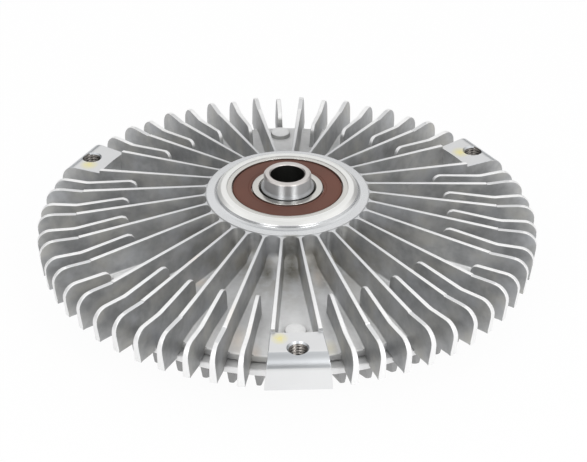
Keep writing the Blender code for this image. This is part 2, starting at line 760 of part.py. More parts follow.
def coil_anchor(collection):
    """A cast post with a slot that holds the bimetal coil's outer end."""
    top = COVER_OUTER_Z + BURIED
    height = top - SPINDLE_FOOT
    width = ANCHOR_SIZE / 2
    centre = ANCHOR_RADIUS + ANCHOR_SIZE / 2
    size = Matrix.Diagonal((ANCHOR_SIZE * MM, width * MM, height * MM, 1))
    bm = bmesh.new()
    for side in (1, -1):
        middle = Vector((centre, side * (SLOT_WIDTH + width) / 2, top - height / 2)) * MM
        bmesh.ops.create_cube(bm, size=1, matrix=Matrix.Translation(middle) @ size)
    bmesh.ops.transform(bm, matrix=at_angle(coil_end_angle()), verts=bm.verts)
    return make_helper(add_object("anchor", finish_mesh("anchor", bm), None, collection))


def spindle_boss(collection):
    boss = peg(BOSS_TOP_Z, RESERVOIR_Z - BURIED, COVER_BOSS_RADIUS)
    return make_helper(turned("boss", boss, None, collection, SMALL_STEPS, closed=False))


def spindle_bore(collection):
    bore = peg(BOSS_TOP_Z + BURIED, COVER_OUTER_Z - BURIED, SPINDLE_BORE)
    return make_helper(turned("bore", bore, None, collection, SMALL_STEPS, closed=False))


def reservoir(collection):
    """The hollow of the cover: the seal's corner, the plate's seat, then the reservoir."""
    groove = HOUSING_RING_THICKNESS + 2 * RING_PLAY
    profile = [
        (0, FLANGE_TOP_Z + BURIED),
        (SPIGOT_RADIUS + groove, FLANGE_TOP_Z + BURIED),
        (SPIGOT_RADIUS + groove, JOINT_Z - groove),
        (COVER_RECESS_RADIUS, JOINT_Z - groove),
        (COVER_RECESS_RADIUS, PLATE_SEAT_Z),
        (RESERVOIR_RADIUS, PLATE_SEAT_Z),
        (RESERVOIR_RADIUS, RESERVOIR_Z + RESERVOIR_SLOPE / 2),
        (RESERVOIR_RADIUS - RESERVOIR_SLOPE, RESERVOIR_Z),
        (0, RESERVOIR_Z),
    ]
    return make_helper(turned("reservoir", profile, None, collection, CAST_STEPS, closed=False))


def front_cover(mat, collection, tools):
    """The finned front casting, with the fluid's reservoir and the spindle's boss."""
    profile = [
        (0, FLANGE_TOP_Z),
        (FLANGE_RADIUS, FLANGE_TOP_Z),
        (FLANGE_RADIUS, FLANGE_Z),
        (COVER_SHOULDER_RADIUS, FLANGE_Z),
        (COVER_DISH_RADIUS, COVER_OUTER_Z),
        (0, COVER_OUTER_Z),
    ]
    steps = 2 * COVER_FIN_PAIRS
    first = LUG_ANGLE + math.radians(COVER_FIN_OFFSET)
    obj = turned("front_cover", profile, mat, collection, steps, closed=False, start=first)
    boolean(obj, "DIFFERENCE", reservoir(tools))
    boolean(obj, "UNION", spindle_boss(tools))
    boolean(obj, "UNION", cover_fins(tools))
    boolean(obj, "UNION", coil_anchor(tools))
    boolean(obj, "DIFFERENCE", screw_clearances(tools))
    boolean(obj, "DIFFERENCE", spindle_bore(tools))
    return obj


def cover_screw(number, place, collection, mat):
    """Screw that holds the cover to the housing, head down."""
    tip = SCREW_GRIP + 2 * SEAT_GAP + SCREW_THREAD
    profile = [
        (0, tip),
        (SCREW_RADIUS, tip),
        (SCREW_RADIUS, 0),
        (SCREW_HEAD_RADIUS, 0),
        (SCREW_HEAD_RADIUS, -SCREW_HEAD_HEIGHT),
        (0, -SCREW_HEAD_HEIGHT),
    ]
    name = f"cover_screw_{number}"
    obj = turned(name, profile, mat, collection, HOLE_STEPS, closed=False)
    obj.location = (place[0] * MM, place[1] * MM, (SCREW_SEAT_Z - SEAT_GAP) * MM)
    return obj


# Bearing


def race_arc(centre_r, radius, outward, reach, steps=3):
    """Points of a ball groove, from its upper edge to its lower edge."""
    half = math.asin(min(1.0, reach / radius))
    sign = 1 if outward else -1
    points = []
    for i in range(steps + 1):
        angle = half - 2 * half * i / steps
        r = centre_r + sign * radius * math.cos(angle)
        points.append((r, BEARING_MID_Z + radius * math.sin(angle)))
    return points


def bearing_rings(mat, collection):
    """Inner and outer ring, each with a step for the seal at both faces."""
    top = BEARING_TOP_Z
    foot = BEARING_Z
    chamfer = BEARING_CHAMFER
    groove = BALL_DIAMETER / 2 + GROOVE_PLAY
    step = SEAL_SINK + SEAL_THICKNESS + RUN_GAP
    outer_r = BEARING_OD / 2
    land = OUTER_RING_ID / 2
    reach = math.sqrt(groove**2 - (land - PITCH_RADIUS) ** 2)
    outer = [
        (outer_r - chamfer, top),
        (outer_r, top - chamfer),
        (outer_r, foot + chamfer),
        (outer_r - chamfer, foot),
        (land + SEAL_RECESS, foot),
        (land + SEAL_RECESS, foot + step),
        (land, foot + step),
        *reversed(race_arc(PITCH_RADIUS, groove, True, reach)),
        (land, top - step),
        (land + SEAL_RECESS, top - step),
        (land + SEAL_RECESS, top),
    ]
    bore = BEARING_BORE / 2 + FIT_GAP
    land = INNER_RING_OD / 2
    ease = BEARING_EASE
    reach = math.sqrt(groove**2 - (PITCH_RADIUS - land) ** 2)
    inner = [
        (land - SEAL_LEDGE, top),
        (land - SEAL_LEDGE, top - step),
        (land, top - step),
        *race_arc(PITCH_RADIUS, groove, False, reach),
        (land, foot + step),
        (land - SEAL_LEDGE, foot + step),
        (land - SEAL_LEDGE, foot),
        (bore + ease, foot),
        (bore, foot + ease),
        (bore, top - ease),
        (bore + ease, top),
    ]
    return (
        turned("bearing_outer_ring", outer, mat, collection, RING_STEPS),
        turned("bearing_inner_ring", inner, mat, collection, RING_STEPS),
    )


def bearing_seal(name, top, mat, collection):
    """Moulded contact seal, held in the outer ring and close to the inner one."""
    outer = OUTER_RING_ID / 2 + SEAL_RECESS - FIT_GAP
    inner = INNER_RING_OD / 2 - SEAL_LEDGE + RUN_GAP
    foot = top - SEAL_THICKNESS
    profile = [(outer, top), (outer, foot), (inner, foot), (inner, top)]
    return turned(name, profile, mat, collection, RING_STEPS)


def ball_places():
    return on_circle(PITCH_RADIUS, BALL_COUNT)


def bearing_balls(mat, collection):
    bm = bmesh.new()
    bmesh.ops.create_uvsphere(bm, u_segments=8, v_segments=6, radius=BALL_DIAMETER / 2 * MM)
    mesh = finish_mesh("bearing_ball", bm)
    balls = []
    for i, (x, y) in enumerate(ball_places()):
        ball = add_object(f"bearing_ball_{i + 1}", mesh, mat, collection)
        ball.location = (x * MM, y * MM, BEARING_MID_Z * MM)
        balls.append(ball)
    return balls


def bearing_cage(mat, collection, tools):
    """A ring with a round pocket for each ball."""
    half = BEARING_WIDTH / 2 - SEAL_SINK - SEAL_THICKNESS - CAGE_MARGIN
    outer = PITCH_RADIUS + CAGE_WALL / 2
    inner = PITCH_RADIUS - CAGE_WALL / 2
    top = BEARING_MID_Z + half
    foot = BEARING_MID_Z - half
    profile = [(outer, top), (outer, foot), (inner, foot), (inner, top)]
    cage = turned("bearing_cage", profile, mat, collection, 4 * BALL_COUNT)
    bm = bmesh.new()
    radius = (BALL_DIAMETER / 2 + RUN_GAP) * MM
    for x, y in ball_places():
        angle = math.atan2(y, x)
        place = Matrix.Translation((x * MM, y * MM, BEARING_MID_Z * MM))
        along = at_angle(angle) @ Matrix.Rotation(math.pi / 2, 4, "Y")
        bmesh.ops.create_cone(
            bm,
            cap_ends=True,
            segments=10,
            radius1=radius,
            radius2=radius,
            depth=4 * CAGE_WALL * MM,
            matrix=place @ along,
        )
    pockets = make_helper(add_object("pockets", finish_mesh("pockets", bm), None, tools))
    boolean(cage, "DIFFERENCE", pockets)
    return cage


# Turning parts


def input_shaft(mat, collection):
    """The hollow stub that bolts to the engine side, down to the rotor's seat."""
    top = BEARING_TOP_Z + STUB_HEIGHT
    seat = BEARING_BORE / 2
    flare = STUB_RADIUS + STUB_FLARE
    collar = BEARING_Z - FIT_GAP
    thread_top = top - STUB_BORE_DEPTH
    thread_foot = thread_top - THREAD_HOLE_DEPTH
    profile = [
        (STUB_RADIUS - STUB_CHAMFER, top),
        (STUB_RADIUS, top - STUB_CHAMFER),
        (STUB_RADIUS, BEARING_TOP_Z + 3 * STUB_FLARE_HEIGHT),
        (flare, BEARING_TOP_Z + STUB_FLARE_HEIGHT),
        (flare, BEARING_TOP_Z - STUB_FLARE_HEIGHT / 2),
        (seat, BEARING_TOP_Z - STUB_FLARE_HEIGHT / 2 - (flare - seat)),
        (seat, collar),
        (SHAFT_COLLAR_RADIUS, collar),
        (SHAFT_COLLAR_RADIUS, collar - SHAFT_SHOULDER),
        (ROTOR_SEAT_RADIUS, collar - SHAFT_SHOULDER),
        (ROTOR_SEAT_RADIUS, ROTOR_Z + BORE_EASE),
        (ROTOR_SEAT_RADIUS - BORE_EASE, ROTOR_Z),
        (0, ROTOR_Z),
    ]
    bore = [
        (0, thread_foot - THREAD_HOLE_RADIUS / 2),
        (THREAD_HOLE_RADIUS, thread_foot),
        (THREAD_HOLE_RADIUS, thread_top - THREAD_HOLE_STEP),
        (STUB_BORE_RADIUS, thread_top),
        (STUB_BORE_RADIUS, top - BORE_EASE),
        (STUB_BORE_RADIUS + BORE_EASE, top),
    ]
    chain = bore + profile
    return turned("input_shaft", chain, mat, collection, RING_STEPS, closed=False)


def rotor(mat, collection):
    """The driven disc, whose ring lands shear the fluid against the housing's ridges."""
    hub_top = BEARING_Z - FIT_GAP - SHAFT_SHOULDER - FIT_GAP
    bore = ROTOR_SEAT_RADIUS + FIT_GAP
    land_top = WEB_TOP_Z + LAND_HEIGHT
    profile = [(ROTOR_RADIUS, WEB_TOP_Z), (ROTOR_RADIUS, ROTOR_Z)]
    profile += [(bore, ROTOR_Z), (bore, hub_top), (ROTOR_HUB_RADIUS, hub_top)]
    profile.append((ROTOR_HUB_RADIUS, WEB_TOP_Z + ROTOR_ROUND))
    profile.append((ROTOR_HUB_RADIUS + ROTOR_ROUND, WEB_TOP_Z))
    for i in range(LAND_COUNT):
        inner = LAND_START + LAND_PITCH * i - LAND_WIDTH / 2
        outer = inner + LAND_WIDTH
        profile += [(inner, WEB_TOP_Z), (inner, land_top), (outer, land_top), (outer, WEB_TOP_Z)]
    return turned("rotor", profile, mat, collection, RING_STEPS)


# Reservoir plate and its wiper


def plate_hole(name, circle, degrees, radius, tools):
    angle = math.radians(degrees)
    profile = peg(PLATE_TOP_Z + BURIED, PLATE_Z - BURIED, radius)
    hole = turned(name, profile, None, tools, SMALL_STEPS, closed=False)
    hole.location = (circle * math.cos(angle) * MM, circle * math.sin(angle) * MM, 0)
    return make_helper(hole)


def separator_plate(mat, collection, tools):
    """Thin disc between the rotor and the reservoir, with a valve port and a return hole."""
    profile = peg(PLATE_TOP_Z, PLATE_Z, SPIGOT_RADIUS - SEAT_GAP)
    plate = turned("separator_plate", profile, mat, collection, CAST_STEPS, closed=False)
    drain = math.degrees(wiper_angle()) - RETURN_LEAD
    port_hole = plate_hole("port", PORT_CIRCLE, ARM_REST_ANGLE, PORT_RADIUS, tools)
    return_hole = plate_hole("return", RETURN_CIRCLE, drain, RETURN_RADIUS, tools)
    boolean(plate, "DIFFERENCE", port_hole)
    boolean(plate, "DIFFERENCE", return_hole)
    return plate


def wiper_angle():
    return LUG_ANGLE + math.radians(WIPER_TURN)


def pump_wiper(mat, collection):
    """Block in the channel round the rotor, which pushes fluid into the return hole."""
    inner = ROTOR_RADIUS + RUN_GAP
    outer = CHAMBER_RADIUS * math.cos(math.pi / RING_STEPS) - SEAT_GAP
    foot = PLATE_TOP_Z + SEAT_GAP
    top = foot + WIPER_HEIGHT
    half = WIPER_LENGTH / 2 / CHAMBER_RADIUS
    steps = 3
    corners = [(inner, top), (outer, top), (outer, foot), (inner, foot)]
    bm = bmesh.new()
    verts = [bm.verts.new((r * MM, 0, z * MM)) for r, z in corners]
    bmesh.ops.rotate(bm, verts=verts, matrix=Matrix.Rotation(-half, 3, "Z"))
    start = bm.faces.new(verts)
    bmesh.ops.spin(
        bm,
        geom=[start, *start.edges, *start.verts],
        axis=(0, 0, 1),
        angle=2 * half,
        steps=steps,
        use_duplicate=False,
    )
    obj = add_object("pump_wiper", finish_mesh("pump_wiper", bm), mat, collection)
    obj.rotation_euler.z = wiper_angle()
    return obj


# Round seals


def round_seal(name, centre_r, centre_z, thickness, sides, steps, mat, collection):
    points = []
    for i in range(sides):
        angle = -2 * math.pi * i / sides
        r = centre_r + thickness / 2 * math.cos(angle)
        points.append((r, centre_z + thickness / 2 * math.sin(angle)))
    return turned(name, points, mat, collection, steps)


def housing_seal(mat, collection):
    """Ring in the corner between the housing's spigot and the cover."""
    half = HOUSING_RING_THICKNESS / 2
    centre = SPIGOT_RADIUS + RING_PLAY + half
    height = JOINT_Z - RING_PLAY - half
    size = HOUSING_RING_THICKNESS
    return round_seal("housing_seal_ring", centre, height, size, 4, CAST_STEPS, mat, collection)


# Valve and bimetal


def spindle_groove_z():
    return COVER_OUTER_Z + COVER_FLOOR / 2


def bimetal_spindle(mat, collection, tools):
    """Short turned spindle: the coil turns its slotted foot, and it turns the valve arm."""
    foot = SPINDLE_FOOT
    slot_top = COVER_OUTER_Z - SLOT_ROOF
    groove = SPINDLE_BORE - SPINDLE_RING_THICKNESS - 2 * RING_PLAY
    half = SPINDLE_RING_THICKNESS / 2 + RING_PLAY
    arm_top = ARM_Z + ARM_THICKNESS
    profile = [
        (0, arm_top + SEAT_GAP + SPINDLE_HEAD),
        (SPINDLE_RADIUS, arm_top + SEAT_GAP + SPINDLE_HEAD),
        (SPINDLE_RADIUS, arm_top + SEAT_GAP),
        (SPINDLE_NECK, arm_top + SEAT_GAP),
        (SPINDLE_NECK, ARM_Z - SEAT_GAP),
        (SPINDLE_RADIUS, ARM_Z - SEAT_GAP),
        (SPINDLE_RADIUS, spindle_groove_z() + half),
        (groove, spindle_groove_z() + half),
        (groove, spindle_groove_z() - half),
        (SPINDLE_RADIUS, spindle_groove_z() - half),
        (SPINDLE_RADIUS, foot),
        (0, foot),
    ]
    spindle = turned("bimetal_spindle", profile, mat, collection, SMALL_STEPS, closed=False)
    bm = bmesh.new()
    size = Vector((3 * SPINDLE_RADIUS, SLOT_WIDTH, slot_top + BURIED)) * MM
    place = Matrix.Translation((0, 0, (slot_top - BURIED) / 2 * MM))
    bmesh.ops.create_cube(bm, size=1, matrix=place @ Matrix.Diagonal((*size, 1)))
    slot = make_helper(add_object("spindle_slot", finish_mesh("spindle_slot", bm), None, tools))
    boolean(spindle, "DIFFERENCE", slot)
    return spindle


def spindle_seal(mat, collection):
    size = SPINDLE_RING_THICKNESS
    centre = SPINDLE_BORE - RING_PLAY - size / 2
    height = spindle_groove_z()
    return round_seal("spindle_seal_ring", centre, height, size, 4, SMALL_STEPS, mat, collection)


def arm_stations():
    """(x, half width, level) along the arm: hub, step up to the plate, and round pad."""
    stations = []
    for degrees in (165, 135, 90, 45):
        angle = math.radians(degrees)
        stations.append((ARM_HUB_RADIUS * math.cos(angle), ARM_HUB_RADIUS * math.sin(angle), 0))
    rise = PAD_Z - ARM_Z
    bend = ARM_HUB_RADIUS + ARM_STRAIGHT
    stations.append((bend, ARM_WIDTH / 2, 0))
    stations.append((bend + ARM_SLOPE * rise, ARM_WIDTH / 2, rise))
    for degrees in (145, 90, 45, 15):
        angle = math.radians(degrees)
        x = PORT_CIRCLE + ARM_PAD_RADIUS * math.cos(angle)
        stations.append((x, ARM_PAD_RADIUS * math.sin(angle), rise))
    return stations


def valve_arm(mat, collection, tools):
    """Sheet strip that covers the port when cold, with an eye for the spindle's neck."""
    bm = bmesh.new()
    rows = []
    for x, half, level in arm_stations():
        z = (ARM_Z + level) * MM
        rows.append([bm.verts.new((x * MM, side * half * MM, z)) for side in (1, -1)])
    for (left, right), (next_left, next_right) in zip(rows, rows[1:]):
        bm.faces.new((left, right, next_right, next_left))
    mesh = bpy.data.meshes.new("valve_arm")
    bm.to_mesh(mesh)
    bm.free()
    arm = add_object("valve_arm", mesh, mat, collection)
    sheet = arm.modifiers.new("sheet", "SOLIDIFY")
    sheet.thickness = ARM_THICKNESS * MM
    sheet.offset = 1
    arm.rotation_euler.z = math.radians(ARM_REST_ANGLE)
    eye = peg(ARM_Z + ARM_THICKNESS + BURIED, ARM_Z - BURIED, SPINDLE_NECK + SEAT_GAP)
    eye = turned("arm_eye", eye, None, tools, SMALL_STEPS, closed=False)
    boolean(arm, "DIFFERENCE", make_helper(eye))
    return arm


def coil_radius(turn):
    return COIL_START + COIL_PITCH * turn


def coil_end_angle():
    return 2 * math.pi * COIL_TURNS


def bimetal_coil(mat, collection):
    """Bimetal strip: a tang across the spindle's slot, a spiral, and a straight tail."""
    foot = COIL_FOOT
    per_turn = 10
    count = round(COIL_TURNS * per_turn)
    path = [(COIL_TANG - SPINDLE_RADIUS, 0.0)]
    for i in range(count + 1):
        turn = COIL_TURNS * i / count
        angle = 2 * math.pi * turn
        path.append((coil_radius(turn) * math.cos(angle), coil_radius(turn) * math.sin(angle)))
    end = coil_end_angle()
    tail = ANCHOR_RADIUS + ANCHOR_SIZE - COIL_TAIL
    path.append((tail * math.cos(end), tail * math.sin(end)))
    bm = bmesh.new()
    lower = [bm.verts.new((x * MM, y * MM, foot * MM)) for x, y in path]
    upper = [bm.verts.new((x * MM, y * MM, (foot + COIL_HEIGHT) * MM)) for x, y in path]
    for i in range(len(path) - 1):
        bm.faces.new((lower[i], lower[i + 1], upper[i + 1], upper[i]))
    mesh = bpy.data.meshes.new("bimetal_coil")
    bm.to_mesh(mesh)
    bm.free()
    coil = add_object("bimetal_coil", mesh, mat, collection)
    solid = coil.modifiers.new("strip", "SOLIDIFY")
    solid.thickness = COIL_STRIP * MM
    solid.offset = 0
    return coil


def main():
    clear_scene()
    scene_root = bpy.context.scene.collection
    parts = new_collection("viscous_fan_clutch", scene_root)
    tools = new_collection("cutters", scene_root)

    cast = material("cast aluminium", (0.62, 0.62, 0.61), 0.5, 0.9)
    polished = material("ground steel", (0.66, 0.65, 0.63), 0.22, 1.0)
    ring_steel = material("bearing steel", (0.72, 0.71, 0.68), 0.25, 1.0)
    seal_rubber = material("red brown seal", (0.16, 0.05, 0.038), 0.55, 0.0)
    plate_steel = material("sheet steel", (0.5, 0.5, 0.5), 0.35, 1.0)
    screw_steel = material("zinc screw", (0.6, 0.6, 0.57), 0.35, 1.0)
    cage_steel = material("cage steel", (0.45, 0.45, 0.45), 0.4, 1.0)
    brass = material("bimetal", (0.55, 0.45, 0.3), 0.4, 1.0)
    black_rubber = material("black rubber", (0.02, 0.02, 0.02), 0.6, 0.0)
    wiper_plastic = material("wiper plastic", (0.7, 0.66, 0.55), 0.5, 0.0)

    fixed = bpy.data.objects.new("housing_frame", None)
    shaft_axis = bpy.data.objects.new("shaft_axis", None)
    cage_axis = bpy.data.objects.new("cage_axis", None)
    valve_axis = bpy.data.objects.new("valve_axis", None)
    for empty in (fixed, shaft_axis, cage_axis, valve_axis):
        parts.objects.link(empty)
    for empty in (shaft_axis, cage_axis, valve_axis):
        empty.parent = fixed

    outer_ring, inner_ring = bearing_rings(ring_steel, parts)
    places = on_circle(SCREW_CIRCLE, SCREW_COUNT)
    screws = [cover_screw(i + 1, place, parts, screw_steel) for i, place in enumerate(places)]
    foot_seal_top = BEARING_Z + SEAL_SINK + SEAL_THICKNESS
    held = [
        rear_housing(cast, parts, tools),
        front_cover(cast, parts, tools),
        outer_ring,
        bearing_seal("bearing_seal_top", BEARING_TOP_Z - SEAL_SINK, seal_rubber, parts),
        bearing_seal("bearing_seal_bottom", foot_seal_top, seal_rubber, parts),
        separator_plate(plate_steel, parts, tools),
        pump_wiper(wiper_plastic, parts),
        housing_seal(black_rubber, parts),
        bimetal_coil(brass, parts),
        *screws,
    ]
    turning = [input_shaft(polished, parts), inner_ring, rotor(cast, parts)]
    caged = [bearing_cage(cage_steel, parts, tools), *bearing_balls(ring_steel, parts)]
    valve = [
        bimetal_spindle(polished, parts, tools),
        valve_arm(plate_steel, parts, tools),
        spindle_seal(black_rubber, parts),
    ]
    for pieces, frame in (
        (held, fixed),
        (turning, shaft_axis),
        (caged, cage_axis),
        (valve, valve_axis),
    ):
        for piece in pieces:
            piece.parent = frame


main()
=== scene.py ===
# %% [markdown]
# # A viscous fan clutch, dressed for its picture
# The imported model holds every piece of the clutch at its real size, but its castings have
# few faces. This lesson loads that model as a fixed frame and builds finer castings and
# turned parts round it, with the rounded edges, small fillets and finishes that make cast
# aluminium, ground steel and moulded rubber look real.

# %% Load the frame
import json
import math

import bmesh
import bpy
from mathutils import Matrix, Quaternion, Vector

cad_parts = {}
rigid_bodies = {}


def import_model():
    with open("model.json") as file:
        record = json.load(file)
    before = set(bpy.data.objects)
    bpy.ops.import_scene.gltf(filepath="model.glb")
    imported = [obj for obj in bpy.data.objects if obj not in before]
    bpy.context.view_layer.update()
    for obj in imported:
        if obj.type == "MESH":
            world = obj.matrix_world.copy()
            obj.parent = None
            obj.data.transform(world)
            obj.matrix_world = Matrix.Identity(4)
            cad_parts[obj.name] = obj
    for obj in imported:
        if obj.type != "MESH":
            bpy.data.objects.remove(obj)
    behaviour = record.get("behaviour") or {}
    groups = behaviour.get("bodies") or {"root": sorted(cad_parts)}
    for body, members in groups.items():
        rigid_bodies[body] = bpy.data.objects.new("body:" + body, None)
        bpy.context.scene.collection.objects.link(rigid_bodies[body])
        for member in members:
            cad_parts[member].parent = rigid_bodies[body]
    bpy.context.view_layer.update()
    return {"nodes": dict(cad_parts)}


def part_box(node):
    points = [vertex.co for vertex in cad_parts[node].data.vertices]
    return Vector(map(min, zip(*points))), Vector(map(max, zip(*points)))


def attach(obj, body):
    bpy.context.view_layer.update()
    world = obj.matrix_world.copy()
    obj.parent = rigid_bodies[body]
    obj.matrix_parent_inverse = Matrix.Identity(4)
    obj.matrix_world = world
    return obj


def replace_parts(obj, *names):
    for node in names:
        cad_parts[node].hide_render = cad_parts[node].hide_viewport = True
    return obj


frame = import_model()

# %% [markdown]
# ## Read the levels
# All the sizes below are in millimetres, because that is how a maker reads a drawing.
# The levels and radii that pieces share are read from the frame, so that each new piece
# sits exactly where its plain one does. Only the small details have sizes of their own.

# %% Levels and radii
MM = 0.001


def box_mm(node):
    low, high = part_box(node)
    return low / MM, high / MM


housing_low, housing_high = box_mm("rear_housing")
cover_high = box_mm("front_cover")[1]
ring_low, ring_high = box_mm("bearing_outer_ring")
shaft_low, shaft_high = box_mm("input_shaft")

SEAT_GAP = 0.3  # between two castings that seat on each other
SPIGOT_Z = housing_low.z
JOINT_Z = cover_high.z + SEAT_GAP
BEARING_TOP_Z = ring_high.z
BEARING_Z = ring_low.z
BEARING_RADIUS = ring_high.x
RIM_Z = BEARING_TOP_Z - 2.3  # the hub's flat rim lies below the bearing's face
FIN_RADIUS = housing_high.x
STUB_TOP_Z = shaft_high.z
print("rim at", round(RIM_Z, 2), "mm, joint at", round(JOINT_Z, 2), "mm")

# %% [markdown]
# ## Outlines with round corners
# Nothing on a casting has a perfectly sharp corner, because molten metal doesn't fill one
# and sand or steel moulds don't keep one. So every outline here is a list of corners, and
# a corner that carries a third number is replaced by an arc of that radius.

# %% Outline helper


def rounded(corners, steps=4):
    points = []
    for i, corner in enumerate(corners):
        r, z = corner[:2]
        if len(corner) < 3:
            points.append((r, z))
            continue
        here = Vector((r, z))
        before = Vector(corners[i - 1][:2]) - here
        after = Vector(corners[(i + 1) % len(corners)][:2]) - here
        half = before.angle(after) / 2
        cut = min(corner[2] / math.tan(half), 0.45 * before.length, 0.45 * after.length)
        radius = cut * math.tan(half)
        middle = (before.normalized() + after.normalized()).normalized()
        centre = here + middle * (radius / math.sin(half))
        start = here + before.normalized() * cut - centre
        end = here + after.normalized() * cut - centre
        sweep = math.atan2(start.x * end.y - start.y * end.x, start.dot(end))
        for step in range(steps + 1):
            turn = sweep * step / steps
            x = centre.x + start.x * math.cos(turn) - start.y * math.sin(turn)
            y = centre.y + start.x * math.sin(turn) + start.y * math.cos(turn)
            points.append((x, y))
    return points


square = rounded([(0, 0), (9, 0), (9, 9, 2), (0, 9)])
print("a square with one round corner has", len(square), "points")

# %% [markdown]
# ## Turned shapes
# A lathe makes a piece by spinning it against a tool, so a turned piece is one profile
# swept round the axis. The same helper makes the round body of the castings, which were
# also drawn as one profile before their fins were added.

# %% Mesh helpers
SMOOTH_DEGREES = 32


def new_mesh(name, verts, faces):
    mesh = bpy.data.meshes.new(name)
    mesh.from_pydata([Vector(v) * MM for v in verts], [], faces)
    bm = bmesh.new()
    bm.from_mesh(mesh)
    bmesh.ops.recalc_face_normals(bm, faces=bm.faces)
    bm.to_mesh(mesh)
    bm.free()
    mesh.shade_smooth()
    mesh.set_sharp_from_angle(angle=math.radians(SMOOTH_DEGREES))
    return mesh


def new_object(name, verts, faces):
    obj = bpy.data.objects.new(name, new_mesh(name, verts, faces))
    bpy.context.scene.collection.objects.link(obj)
    return obj


def turn(profile, steps, closed=True, centre=(0.0, 0.0)):
    """Vertices and faces of a profile of (radius, height) points swept round an axis."""
    verts, rings, faces = [], [], []
    for r, z in profile:
        if r < 1e-6:
            rings.append([len(verts)] * steps)
            verts.append((*centre, z))
            continue
        rings.append(list(range(len(verts), len(verts) + steps)))
        for i in range(steps):
            angle = 2 * math.pi * i / steps
            verts.append((centre[0] + r * math.cos(angle), centre[1] + r * math.sin(angle), z))
    pairs = list(zip(rings, rings[1:]))
    if closed:
        pairs.append((rings[-1], rings[0]))
    for upper, lower in pairs:
        for i in range(steps):
            j = (i + 1) % steps
            loop = list(dict.fromkeys((upper[i], lower[i], lower[j], upper[j])))
            if len(loop) > 2:
                faces.append(loop)
    return verts, faces


def gather(parts):
    """Several (vertices, faces) pairs as one."""
    verts, faces = [], []
    for more_verts, more_faces in parts:
        base = len(verts)
        verts += more_verts
        faces += [[base + i for i in face] for face in more_faces]
    return verts, faces


def on_circle(radius, count, start=-90.0):
    angles = [math.radians(start) + 2 * math.pi * i / count for i in range(count)]
    return [(radius * math.cos(a), radius * math.sin(a)) for a in angles]


print("six places on a circle:", [(round(x), round(y)) for x, y in on_circle(10, 6)])

# %% [markdown]
# Pieces of a casting are joined and cut as solids, in the way that a mould maker thinks
# of them. At the end the normals are weighed by face size, so that flat faces look flat
# beside round edges.

# %% Joining helpers
SETTLED_DEGREES = 35
FACE_WEIGHT = 60


def apply_modifiers(obj):
    bpy.context.view_layer.update()
    graph = bpy.context.evaluated_depsgraph_get()
    mesh = bpy.data.meshes.new_from_object(obj.evaluated_get(graph))
    obj.modifiers.clear()
    obj.data = mesh


def combine(obj, operation, tool):
    """Join a tool to a piece or cut it away, and drop the tool."""
    modifier = obj.modifiers.new(operation, "BOOLEAN")
    modifier.operation = operation
    modifier.solver = "MANIFOLD"
    modifier.object = tool
    apply_modifiers(obj)
    bpy.data.objects.remove(tool, do_unlink=True)


def settle(obj):
    """Weigh the normals by face size, so that flat faces look flat beside round edges."""
    obj.data.shade_smooth()
    obj.data.set_sharp_from_angle(angle=math.radians(SETTLED_DEGREES))
    modifier = obj.modifiers.new("weighted", "WEIGHTED_NORMAL")
    modifier.mode = "FACE_AREA"
    modifier.weight = FACE_WEIGHT
    modifier.keep_sharp = True
    apply_modifiers(obj)


print("normals turn sharp at", SETTLED_DEGREES, "degrees")

# %% [markdown]
# ## One cast fin
# A fin is a thin wall with draft: it grows thicker towards its root, so that the casting
# comes out of its mould. Its free edge is softly round, and where it grows out of the
# disc there is a small fillet. The fin is built as columns that run from its free edge
# down to its buried root, so the first helpers place columns and find their depth.

# %% Column helpers


def resample(path, count):
    """Points spread evenly along a path of (r, z) points."""
    lengths = [0.0]
    for first, second in zip(path, path[1:]):
        lengths.append(lengths[-1] + math.dist(first, second))
    points = []
    leg = 0
    for i in range(count):
        goal = lengths[-1] * i / (count - 1)
        while leg < len(path) - 2 and lengths[leg + 1] < goal:
            leg += 1
        share = (goal - lengths[leg]) / max(1e-9, lengths[leg + 1] - lengths[leg])
        r = path[leg][0] + (path[leg + 1][0] - path[leg][0]) * share
        z = path[leg][1] + (path[leg + 1][1] - path[leg][1]) * share
        points.append((r, z))
    return points


def root_depth(top, foot, surface):
    """How far down a column meets the surface that it grows from, or None if it doesn't."""
    r, z = foot
    level = surface(r)
    if level is None or z > level:
        return None
    low, high = 0.0, 1.0
    for _ in range(24):
        middle = (low + high) / 2
        r = top[0] + (foot[0] - top[0]) * middle
        z = top[1] + (foot[1] - top[1]) * middle
        level = surface(r)
        if level is None or z > level:
            low = middle
        else:
            high = middle
    return low * math.dist(top, foot)


print("three points on a path:", resample([(0, 0), (4, 0), (4, 4)], 3))

# %% [markdown]
# Each column gets rows for the round edge, the flank and the fillet. Neighbouring columns
# are then joined into one closed solid.

# %% Fin builder
EDGE_TURNS = (0, 30, 60, 90)
FOOT_TURNS = (0, 22.5, 45, 67.5, 90)


